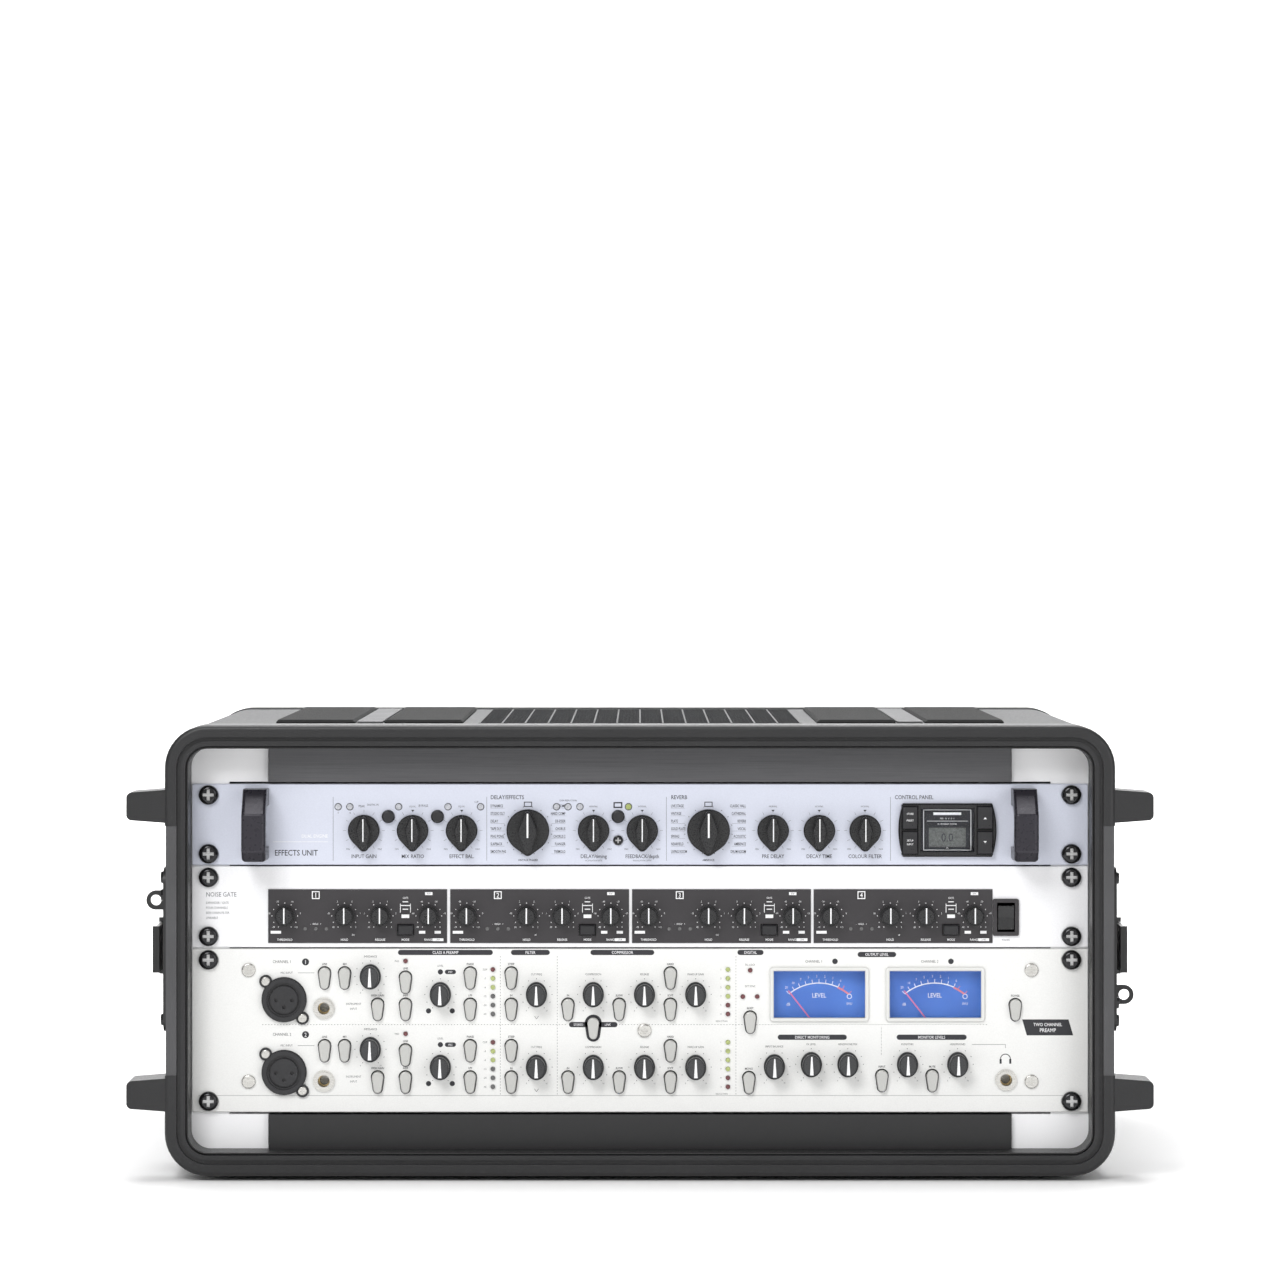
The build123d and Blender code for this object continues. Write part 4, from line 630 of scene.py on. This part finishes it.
def gate_mode_legend(white, x):
    """The mode button's words, and its mark: three bars between two legs, over a block."""
    for row, width in enumerate(MODE_BARS):
        z = 24.6 - 2.0 * row
        white.line(x - width / 2, z, x + width / 2, z, 0.5)
    for side in (-1, 1):
        white.line(x + side * 2.7, 23.6, x + side * 2.7, 18.8, 0.35)
    white.box(x, 16.8, 4.2, 1.9)
    white.text("GATE", x, 26.2, 1.0)
    white.text("MODE", x, GATE_TITLE_ROW, 1.2, bold=0.01)


def gate_number_legend(white, number, x):
    """A channel's number in its frame, over the hold lamps' words."""
    white.frame(x, 28.2, 4.2, 4.2, 0.5)
    white.text(str(number), x, 26.9, 2.5, bold=0.03)
    white.text("-   HOLD   +", x, 12.2, 0.9)


def gate_tags(white, dark, left):
    """The small white tags of a channel, two of them with dark words."""
    for dx, width in GATE_TAGS:
        white.box(left + dx, 8.2, width, 1.5)
    white.box(left + EXP_X, 29.0, 4.0, 1.6)
    white.box(left + LINK_X, 4.2, 5.8, 1.5)
    dark.text("EXP", left + EXP_X, 28.6, 0.9)
    dark.text("LINK", left + LINK_X, 3.8, 0.9)


def gate_print():
    white = Print("gate_legends_white", "gate_channel_panels", WHITE_INK)
    dark = Print("gate_legends_dark", "gate_channel_panels", BLACK_INK, lift=0.06)
    for number, left in enumerate(GATE_CHANNELS, 1):
        gate_knob_legends(white, left)
        gate_number_legend(white, number, left + GATE_NUMBER_X)
        gate_mode_legend(white, left + GATE_MODE_X)
        gate_tags(white, dark, left)
        white.text("SEC" if number % 2 else "dB", left + GATE_UNIT_X, 6.4, 0.8)
    white.done()
    dark.done()
    heading = Print("gate_heading", "gate_faceplate", GREY_INK)
    heading.text("NOISE GATE", GATE_HEADING_X, 27.3, 2.4, "LEFT")
    for row, words in enumerate(GATE_HEADINGS):
        heading.text(words, GATE_HEADING_X, 23.4 - 2.7 * row, 1.2, "LEFT")
    heading.text("POWER", 197.2, 3.4, 1.0)
    heading.done()


gate_print()


# ---------------------------------------------------------------- preamplifier print
PRE_CHANNEL_KNOBS = {
    "impedance_knob": "IMPEDANCE",
    "gain_knob": "",
    "cut_knob": "CUT FREQ",
    "compression_knob": "COMPRESSION",
    "release_knob": "RELEASE",
    "makeup_knob": "MAKE-UP GAIN",
}
MONITOR_KNOBS = {
    "input_balance_knob": "INPUT BALANCE",
    "return_level_knob": "FX LEVEL",
    "headphone_mix_knob": "HEADPHONE MIX",
    "monitor_level_knob": "MONITORS",
    "headphone_level_knob": "HEADPHONES",
}
CHANNEL_DROP = 39.2  # from the first channel's controls down to the second's
KNOB_DOTS_R, KNOB_TITLE_RISE = 8.4, 10.3
KNOB_ENDS = ((-5.4, "0"), (5.4, "10"))
KNOB_END_DROP = 9.2
PRE_BUTTONS = (  # X, Z, words
    (-170.0, 72.3, "LINE"),
    (-159.2, 72.3, "48V"),
    (-141.4, 55.4, "HIGH GAIN"),
    (-126.4, 70.0, "LINE"),
    (-126.4, 55.4, "INST"),
    (-91.5, 72.3, "PHASE"),
    (-91.5, 55.4, "LPF"),
    (-69.4, 72.3, "STEEP"),
    (-69.4, 55.4, "IN"),
    (-38.8, 55.4, "IN"),
    (-11.2, 55.4, "SLOW"),
    (16.4, 72.3, "HARD"),
    (16.4, 55.4, "SOFT"),
)
SINGLE_BUTTONS = (
    (59.4, 48.5, "RESET"),
    (58.7, 15.9, "MONO"),
    (130.4, 17.0, "INPUT"),
    (157.5, 17.0, "MUTE"),
    (202.3, 55.2, "POWER"),
)
HEADINGS = (  # X of each end, Z, words
    (-130.5, -79.3, 86.1, "CLASS A PREAMP"),
    (-69.6, -48.6, 86.1, "FILTER"),
    (-26.7, 7.7, 86.1, "COMPRESSOR"),
    (52.5, 66.6, 86.1, "DIGITAL"),
    (117.3, 138.1, 85.0, "OUTPUT LEVEL"),
    (74.2, 111.5, 40.4, "DIRECT MONITORING"),
    (138.3, 176.1, 40.4, "MONITOR LEVELS"),
)


CHANNEL_LABELS = (  # X, Z, capitals' height, words
    (-190.5, 74.6, 1.1, "MIC INPUT"),
    (-154.4, 57.8, 1.1, "INSTRUMENT"),
    (-154.4, 55.2, 1.1, "INPUT"),
    (-107.6, 78.4, 1.0, "LEVEL"),
    (44.0, 48.6, 0.9, "REDUCTION"),
)
CHANNEL_LINES = (  # both ends, and the width
    (-184.5, 75.1, -175.5, 75.1, 0.2),
    (-56.9, 51.8, -55.8, 50.2, 0.25),
    (-55.8, 50.2, -54.7, 51.8, 0.25),
)
CHANNEL_DISCS = (  # X, Z, radius
    (-180.3, 81.0, 1.9),
    (-107.6, 75.6, 1.4),
    (-114.0, 54.6, 1.4),
    (-101.2, 54.6, 1.4),
)
LEVELS = ("CLIP", "-3", "-6", "-12", "-24", "-42")
LEVEL_TOP, LAMP_PITCH = 76.4, 4.8
LEVEL_X, REDUCTION_X = -83.6, 43.6
LINK_LABELS = (
    (-33.2, 46.6, 1.2, "STEREO"),
    (-17.4, 46.6, 1.2, "LINK"),
)
CLOCK_LABELS = (
    (59.4, 79.0, 1.0, "PLL LOCK"),
    (59.4, 67.4, 1.0, "EXT SYNC"),
)
DIVIDERS = (  # both ends of each dotted line
    (-75.3, 9.5, -75.3, 85.0),
    (-44.6, 9.5, -44.6, 85.0),
    (51.7, 9.5, 51.7, 85.0),
    (130.1, 31.0, 130.1, 46.5),
    (-203.7, 47.2, -39.0, 47.2),
    (-11.4, 47.2, 188.0, 47.2),
)
PRE_LINES = (  # both ends, and the width
    (-238.0, 9.0, 238.0, 9.0, 0.15),
    (179.0, 36.5, 197.0, 36.5, 0.2),
    (197.0, 36.5, 197.0, 34.6, 0.2),
)
METER_XS = (96.7, 159.2)
NAMEPLATE = ((208.5, 41.4), (233.5, 41.4), (231.0, 50.0), (206.0, 50.0))
NAMEPLATE_X = 219.8


def dotted(layer, x1, z1, x2, z2, step=1.6):
    """A dotted divider."""
    length = math.hypot(x2 - x1, z2 - z1)
    count = int(length / step)
    for i in range(count):
        t, u = i / count, (i + 0.45) / count
        start = (x1 + (x2 - x1) * t, z1 + (z2 - z1) * t)
        end = (x1 + (x2 - x1) * u, z1 + (z2 - z1) * u)
        layer.line(*start, *end, 0.22)


def knob_legend(dark, grey, node, title):
    """The dots, end marks and title round one preamplifier knob."""
    x, low, high = middle(node)
    z = (low + high) / 2 - PRE_FOOT
    dark.dots(x, z, KNOB_DOTS_R, count=11, size=0.24)
    for dx, word in KNOB_ENDS:
        grey.text(word, x + dx, z - KNOB_END_DROP, 0.8)
    if title:
        dark.text(title, x, z + KNOB_TITLE_RISE, 1.05)


def button_legend(dark, grey, x, z, title):
    """The dark outline of one teardrop button, heavier at its head, and its word."""
    grey.band(teardrop_points(x, z, 0.6), teardrop_points(x, z, 0.25))
    dark.arc(x, z + BUTTON_HEAD, 3.75, -95, 70, 0.45)
    dark.text(title, x, z + 7.0, 1.1, bold=0.02)


def channel_legends(dark, grey, white, channel, drop):
    """Everything printed for one channel, lowered by drop."""
    for name, title in PRE_CHANNEL_KNOBS.items():
        knob_legend(dark, grey, f"channel_{channel}_{name}", title)
    for x, z, title in PRE_BUTTONS:
        button_legend(dark, grey, x, z - drop, title)
    for x, z, radius in CHANNEL_DISCS:
        dark.disc(x, z - drop, radius)
    for x1, z1, x2, z2, width in CHANNEL_LINES:
        grey.line(x1, z1 - drop, x2, z2 - drop, width)
    labels(grey, CHANNEL_LABELS, drop)
    dark.text(f"CHANNEL {channel}", -193.0, 80.4 - drop, 1.5)
    white.text(str(channel), -180.3, 79.9 - drop, 2.1)
    dark.text("PAD", -131.0, 80.9 - drop, 1.0)
    dark.shape(capsule_points(-102.2, 75.6 - drop, 6.0, 2.4))
    white.text("MIC", -102.2, 75.0 - drop, 1.1)
    for row, level in enumerate(LEVELS):
        z = LEVEL_TOP - LAMP_PITCH * row - drop
        dark.text(level, LEVEL_X, z, 1.0)
        grey.text(str(2 * row + 1), REDUCTION_X, z, 1.0)


def section_legends(dark, grey, white):
    """The dark headings of the panel's sections, and the lines between them."""
    for x1, x2, z, words in HEADINGS:
        dark.shape(capsule_points((x1 + x2) / 2, z, x2 - x1, 2.8))
        white.text(words, (x1 + x2) / 2, z - 0.75, 1.5, bold=0.01)
    for ends in DIVIDERS:
        dotted(grey, *ends)
    for line in PRE_LINES:
        grey.line(*line)


def pre_print():
    dark = Print("preamp_legends_dark", "preamp_faceplate", BLACK_INK)
    grey = Print("preamp_legends_grey", "preamp_faceplate", GREY_INK)
    white = Print("preamp_legends_white", "preamp_faceplate", WHITE_INK, lift=0.06)
    for channel, drop in ((1, 0.0), (2, CHANNEL_DROP)):
        channel_legends(dark, grey, white, channel, drop)
    for name, title in MONITOR_KNOBS.items():
        knob_legend(dark, grey, name, title)
    for x, z, title in SINGLE_BUTTONS:
        button_legend(dark, grey, x, z, title)
    section_legends(dark, grey, white)
    dark.shape(teardrop_points(-25.2, 45.3, 1.5))
    dark.shape(capsule_points(-25.2, 47.2, 26.2, 2.8))
    labels(white, LINK_LABELS)
    labels(dark, CLOCK_LABELS)
    for number, x in enumerate(METER_XS, 1):
        dark.text(f"CHANNEL {number}", x - 3.0, 80.6, 1.4)
        dark.disc(x + 8.4, 81.3, 1.5)
    headphone_mark(dark, 197.0, 28.6)
    dark.shape(NAMEPLATE)
    white.text("TWO CHANNEL", NAMEPLATE_X, 46.4, 1.7, bold=0.02)
    white.text("PREAMP", NAMEPLATE_X, 43.2, 2.0, bold=0.02)
    for layer in (dark, grey, white):
        layer.done()


def headphone_mark(layer, x, z):
    """A small headphone symbol."""
    layer.arc(x, z, 2.9, -100, 100, 0.45)
    for side in (-1, 1):
        layer.box(x + side * 2.6, z - 1.2, 1.1, 2.6)


pre_print()


# ---------------------------------------------------------------- meters
METER_ROW, METER_PIVOT_DROP = 63.5, 19.6
DIAL_SIZE = (50.0, 26.0)
DIAL_PATCH = 0.03
DIAL_GAP, MARK_LIFT = 0.6, 0.1  # dial in front of the needle's back, marks in front of the dial
SCALE_R, TICK_LENGTH = 25.5, 1.8
SCALE_START, RED_START, SCALE_END = -40, 24, 40  # degrees from twelve o'clock
METER_NUMERALS = ("20", "10", "7", "5", "3", "2", "1", "0")


def dial_blue():
    """The lit blue card of a meter."""
    blue, tree, shader, coords = nodes_of("meter_blue", (0.06, 0.15, 0.5), 0.5)
    patches = remap(tree, noise(tree, coords, DIAL_PATCH, detail=1.0), 0.0, 1.0)
    colours = blend_colours(tree, patches, (0.055, 0.14, 0.48), (0.08, 0.2, 0.6))
    tree.links.new(colours, shader.inputs["Base Color"])
    tree.links.new(colours, shader.inputs["Emission Color"])
    shader.inputs["Emission Strength"].default_value = 0.2
    return blue


def meter_scale(marks, red, x):
    """The scale of one meter, with its numerals and words."""
    pivot = METER_ROW - METER_PIVOT_DROP
    marks.arc(x, pivot, SCALE_R, SCALE_START, RED_START, 0.6)
    red.arc(x, pivot, SCALE_R, RED_START, SCALE_END, 1.0)
    marks.ticks(x, pivot, SCALE_R, SCALE_R + TICK_LENGTH, SCALE_START, RED_START, 9, 0.35)
    red.ticks(x, pivot, SCALE_R, SCALE_R + TICK_LENGTH, 30, SCALE_END, 2, 0.35)
    places = arc_points(x, pivot - 0.4, SCALE_R + 3.2, -38, RED_START, 7)
    for word, (word_x, word_z) in zip(METER_NUMERALS, places):
        marks.text(word, word_x, word_z, 1.3)
    marks.text("LEVEL", x, METER_ROW - 2.2, 2.4, bold=0.02)
    marks.text("dB", x - 16.6, METER_ROW - 6.6, 1.6)
    marks.ring(x + 16.4, METER_ROW - 1.6, 1.4, 0.4)
    marks.text("0VU", x + 16.4, METER_ROW - 6.2, 1.4)


def meter_faces():
    """The blue lit dials behind the meter windows, with their printed scales."""
    face_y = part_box("left_meter_needle")[1].y - DIAL_GAP * MM
    faces = Print("meter_dials", "preamp_faceplate", dial_blue())
    marks = Print("meter_scales", "preamp_faceplate", WHITE_INK)
    red = Print("meter_scales_red", "preamp_faceplate", ink("red_ink", (0.8, 0.25, 0.3)))
    faces.y = face_y
    marks.y = red.y = face_y - MARK_LIFT * MM
    for x in METER_XS:
        faces.box(x, METER_ROW, *DIAL_SIZE)
        meter_scale(marks, red, x)
    for layer in (faces, marks, red):
        layer.done()


meter_faces()


# ---------------------------------------------------------------- knob pointers
# Foot and tip of each pointer from its knob's axis, then its width at each.
FX_KNOB_BAR = (-5.6, 6.6, 0.55, 0.55)
SELECTOR_BAR = (-3.4, 9.6, 0.9, 0.9)
PRE_KNOB_BAR = (-5.0, 5.0, 1.9, 0.7)
GATE_KNOB_BAR = (-3.8, 4.6, 0.7, 0.7)
POINTER_LIFT, POINTER_THICKNESS, GATE_POINTER_LIFT = 0.04, 0.4, 0.05


def bar(x, z, bottom, top, width_bottom, width_top):
    """A tapering bar's outline in metres, from millimetres about (x, z)."""
    return [
        ((x - width_bottom / 2) * MM, (z + bottom) * MM),
        ((x + width_bottom / 2) * MM, (z + bottom) * MM),
        ((x + width_top / 2) * MM, (z + top) * MM),
        ((x - width_top / 2) * MM, (z + top) * MM),
    ]


def pointer(node, x, z, shape):
    """A raised white pointer on top of a knob whose axis is at (x, z)."""
    face_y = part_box(node)[0].y - POINTER_LIFT * MM
    corners = [(corner_x, face_y, corner_z) for corner_x, corner_z in bar(x, z, *shape)]
    mesh = bmesh.new()
    add_slab(mesh, corners, (0, POINTER_THICKNESS * MM, 0))
    bmesh.ops.recalc_face_normals(mesh, faces=mesh.faces)
    piece(node + "_pointer", mesh, node, WHITE_INK, slot="knob_black")


def knob_pointers():
    for node in FX_KNOBS:
        pointer(node, middle(node)[0], FX_FOOT + FX_ROW, FX_KNOB_BAR)
    for node in ("fx_effect_selector", "fx_reverb_selector"):
        pointer(node, middle(node)[0], FX_FOOT + FX_ROW, SELECTOR_BAR)
    names = [f"channel_{c}_{name}" for c in (1, 2) for name in PRE_CHANNEL_KNOBS] + list(MONITOR_KNOBS)
    for node in names:
        x, low, high = middle(node)
        pointer(node, x, (low + high) / 2, PRE_KNOB_BAR)


def gate_pointers():
    """The white line across the face of each of the gate's knobs."""
    low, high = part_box("gate_knobs")
    z = (low.z + high.z) / 2 / MM
    face_y = low.y - GATE_POINTER_LIFT * MM
    mesh = bmesh.new()
    for left in GATE_CHANNELS:
        for dx, _ in GATE_KNOBS:
            outline = bar(left + dx, z, *GATE_KNOB_BAR)
            mesh.faces.new([mesh.verts.new((corner_x, face_y, corner_z)) for corner_x, corner_z in outline])
    piece("gate_knob_pointers", mesh, "case", WHITE_INK)


knob_pointers()
gate_pointers()


# ---------------------------------------------------------------- finishes by solid
LENSES = {
    "clear": lens("lens_clear", (0.5, 0.51, 0.55)),
    "green": lens("lens_green", (0.36, 0.42, 0.14), 0.08),
    "red": lens("lens_red", (0.12, 0.02, 0.025)),
    "dark": lens("lens_dark", (0.09, 0.09, 0.09)),
}
LAMP_COLUMNS = {  # by X, from the top lamp down
    -79.3: ("red", "green", "green", "dark", "dark", "dark"),
    47.4: ("green", "green", "green", "green", "red", "red"),
}
LAMP_TOP = 76.9
FX_GREEN_LAMP_X = -6.2
NEAR = 1.0  # places closer than this, in millimetres, belong to one control
EAR_X, RIVET_X = 225.0, 240.0  # the rack screws stand beyond the first, the rivets beyond the second
MIDDLE_Z = 100.0  # between the lower and the upper cross bars
CROSS_REACH, CROSS_SINK = 3.0, 0.2
FRONT_JACKS = ((-170.4, 56.0), (-170.4, 16.8), (197.3, 17.4))


def lamp_colour(x, z):
    """Which lens the lamp at (x, z) has."""
    if z > FX_FOOT:
        return "green" if abs(x - FX_GREEN_LAMP_X) < NEAR else "clear"
    if z > GATE_FOOT:
        return "dark"
    for column, colours in LAMP_COLUMNS.items():
        if abs(x - column) < NEAR:
            below_top = (LAMP_TOP - (z - PRE_FOOT)) % CHANNEL_DROP
            return colours[round(below_top / LAMP_PITCH)]
    return "red"


def finish_solids(node, finishes, choose):
    """Gives each solid of a node the finish whose name choose(X, Z) returns."""
    mesh = NODES[node].data
    mesh.materials.clear()
    names = list(finishes)
    for name in names:
        mesh.materials.append(finishes[name])
    for x, z, polygons in solids(node):
        index = names.index(choose(x, z))
        for polygon in polygons:
            polygon.material_index = index


def screw_finish(x, z):
    """Rack screws, rivets and the effects panel's screw are black; the preamplifier's are nickel."""
    return "black" if z > GATE_FOOT or abs(x) > EAR_X else "nickel"


def socket_finish(x, z):
    """The front jacks have nickel nuts; the other sockets are black plastic."""
    at_jack = any(math.hypot(x - jx, z - PRE_FOOT - jz) < NEAR for jx, jz in FRONT_JACKS)
    return "nickel" if at_jack else "plastic"


def bar_finish(x, z):
    """The upper bars are brushed grey metal; the lower ones are given a near-black colour."""
    return "brushed" if z > MIDDLE_Z else "black"


def worn_recesses():
    """Painted glints: bright metal in the crosses of the black screws, standing in for their highlights."""
    mesh = NODES["rack_screws"].data
    black = mesh.materials.find(FINISH["screw"].name)
    # painted highlight: a bright metal in the cross recesses gives the black screws their glints
    mesh.materials.append(brushed("painted_glint_recess", (0.5, 0.5, 0.5), 0.3))
    bright = len(mesh.materials) - 1
    panel_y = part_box("preamp_faceplate")[0].y
    for x, z, polygons in solids("rack_screws"):
        if abs(x) > RIVET_X:
            continue
        face_y = min(mesh.vertices[v].co.y for p in polygons for v in p.vertices)
        for polygon in polygons:
            place = polygon.center
            near = math.hypot(place.x / MM - x, place.z / MM - z) < CROSS_REACH
            sunk = face_y + CROSS_SINK * MM < place.y < panel_y
            if near and sunk and polygon.material_index == black:
                polygon.material_index = bright


NICKEL = brushed("nickel", (0.62, 0.61, 0.58), 0.28)
BRASS = brushed("brass_contact", (0.5, 0.38, 0.2), 0.35)
finish_solids("indicator_lamps", LENSES, lamp_colour)
finish_solids("rack_screws", {"black": FINISH["screw"], "nickel": NICKEL}, screw_finish)
# painted glints in the black screws' cross recesses
worn_recesses()
finish_solids("panel_sockets", {"plastic": FINISH["socket"], "nickel": NICKEL}, socket_finish)
LOWER_BAR = painted("lower_bar", (0.014, 0.014, 0.015), 0.4)
finish_solids("cross_bars", {"brushed": FINISH["bar"], "black": LOWER_BAR}, bar_finish)


XLR_X, XLR_Z = -191.8, (60.7, 21.5)
PIN_PLACES = ((-4.3, -0.3), (4.3, -0.3), (0, -4.0))  # from a microphone socket's axis
JACK_TUBE = (3.2, 2.6, 6.0)  # outer and inner radius, and depth behind the panel's face
PIN_TUBE = (0.95, 0.45, 0.6)
TUBE_LENGTH = 4.0


def add_tube(mesh, x, z, outer, inner, depth):
    """Adds a contact's tube, starting depth millimetres behind the preamplifier's face."""
    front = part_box("preamp_faceplate")[0].y
    back = depth + TUBE_LENGTH
    rings = []
    for radius, y in ((outer, depth), (inner, depth), (inner, back), (outer, back)):
        points = arc_points(x, z + PRE_FOOT, radius, *CIRCLE)
        rings.append([mesh.verts.new((px * MM, front + y * MM, pz * MM)) for px, pz in points])
    for one, other in zip(rings, rings[1:] + rings[:1]):
        for i in range(len(one)):
            j = (i + 1) % len(one)
            mesh.faces.new((one[i], one[j], other[j], other[i]))


def socket_contacts():
    """The contacts seen down the front jacks and in the microphone sockets' pin holes."""
    mesh = bmesh.new()
    for x, z in FRONT_JACKS:
        add_tube(mesh, x, z, *JACK_TUBE)
    for z in XLR_Z:
        for dx, dz in PIN_PLACES:
            add_tube(mesh, XLR_X + dx, z + dz, *PIN_TUBE)
    bmesh.ops.recalc_face_normals(mesh, faces=mesh.faces)
    piece("socket_contacts", mesh, "case", BRASS, slot="socket")


socket_contacts()


# ---------------------------------------------------------------- top strips
STRIP_X = (140.5, 154.5)
STRIP_LIFT, STRIP_THICKNESS = 0.05, 0.6


def top_strips():
    """The pale strips between the pads of each pair on the case's top."""
    low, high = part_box("rubber_pads")
    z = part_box("case_shell")[1].z + STRIP_LIFT * MM
    mesh = bmesh.new()
    for side in (-1, 1):
        inner, outer = (side * x * MM for x in STRIP_X)
        corners = [(inner, low.y, z), (outer, low.y, z), (outer, high.y, z), (inner, high.y, z)]
        add_slab(mesh, corners, (0, 0, STRIP_THICKNESS * MM))
    bmesh.ops.recalc_face_normals(mesh, faces=mesh.faces)
    piece("top_strips", mesh, "case", moulded("top_strip_plastic", (0.13, 0.13, 0.135), 0.6), slot="strip")


top_strips()


# ---------------------------------------------------------------- stage, light and camera
# Metres from here on.
FLOOR_HALF_WIDTH, FLOOR_FRONT = 6.0, -5.0
BEND_START, BEND_R, BEND_STEPS, BACKDROP_TOP = 2.5, 1.5, 16, 6.0
RACK_CENTRE = (0, 0, 0.1)
LIGHTS = (  # name, place, target, size, power in watts
    ("key", (-0.9, -2.6, 1.9), RACK_CENTRE, 1.2, 46),
    ("fill", (1.8, -2.6, 0.9), RACK_CENTRE, 1.6, 17),
    ("top", (0.0, 0.5, 2.4), RACK_CENTRE, 1.8, 60),
    ("wall", (0.0, 1.2, 2.2), (0, 4.0, 1.2), 2.5, 130),
)
WORLD_STRENGTH = 0.44
SENSOR_MM, LENS_MM, CAMERA_SHIFT = 36.0, 168.0, -0.0641
CAMERA_BACK, CAMERA_Z = 3.22, 0.3335  # in front of the panels, and above the floor


def stage():
    """A pale floor that sweeps up behind the rack."""
    mesh = bmesh.new()
    profile = [(FLOOR_FRONT, 0.0), (BEND_START, 0.0)]
    for step in range(1, BEND_STEPS + 1):
        turn = math.radians(90 * step / BEND_STEPS)
        profile.append((BEND_START + BEND_R * math.sin(turn), BEND_R - BEND_R * math.cos(turn)))
    profile.append((BEND_START + BEND_R, BACKDROP_TOP))
    rows = [[mesh.verts.new((side * FLOOR_HALF_WIDTH, y, z)) for side in (-1, 1)] for y, z in profile]
    for near, far in zip(rows, rows[1:]):
        mesh.faces.new((near[0], near[1], far[1], far[0])).smooth = True
    data = bpy.data.meshes.new("floor")
    mesh.to_mesh(data)
    mesh.free()
    data.materials.append(painted("floor_paper", (0.95, 0.95, 0.95), 0.8, vary=0.01))
    floor = bpy.data.objects.new("floor", data)
    bpy.context.scene.collection.objects.link(floor)


def area_light(name, place, target, size, power):
    """A square light at place that faces target."""
    data = bpy.data.lights.new(name, "AREA")
    data.shape, data.size, data.energy = "SQUARE", size, power
    light = bpy.data.objects.new(name, data)
    light.location = place
    light.rotation_euler = (Vector(target) - Vector(place)).to_track_quat("-Z", "Y").to_euler()
    bpy.context.scene.collection.objects.link(light)


def camera():
    """The photograph's view: level, far off, a little above the case."""
    panel_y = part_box("preamp_faceplate")[0].y
    data = bpy.data.cameras.new("camera")
    data.sensor_width, data.lens = SENSOR_MM, LENS_MM
    data.shift_y = CAMERA_SHIFT
    cam = bpy.data.objects.new("camera", data)
    cam.location = (0.0, panel_y - CAMERA_BACK, CAMERA_Z)
    cam.rotation_euler = (math.pi / 2, 0, 0)
    bpy.context.scene.collection.objects.link(cam)
    bpy.context.scene.camera = cam


def surroundings():
    """Even white light from all round."""
    world = bpy.data.worlds.new("studio")
    world.use_nodes = True
    background = world.node_tree.nodes["Background"]
    background.inputs["Color"].default_value = (1.0, 1.0, 1.0, 1.0)
    background.inputs["Strength"].default_value = WORLD_STRENGTH
    bpy.context.scene.world = world


stage()
for light in LIGHTS:
    area_light(*light)
camera()
surroundings()
bpy.context.scene.view_settings.view_transform = "Standard"

bpy.data.objects.remove(WRITER)
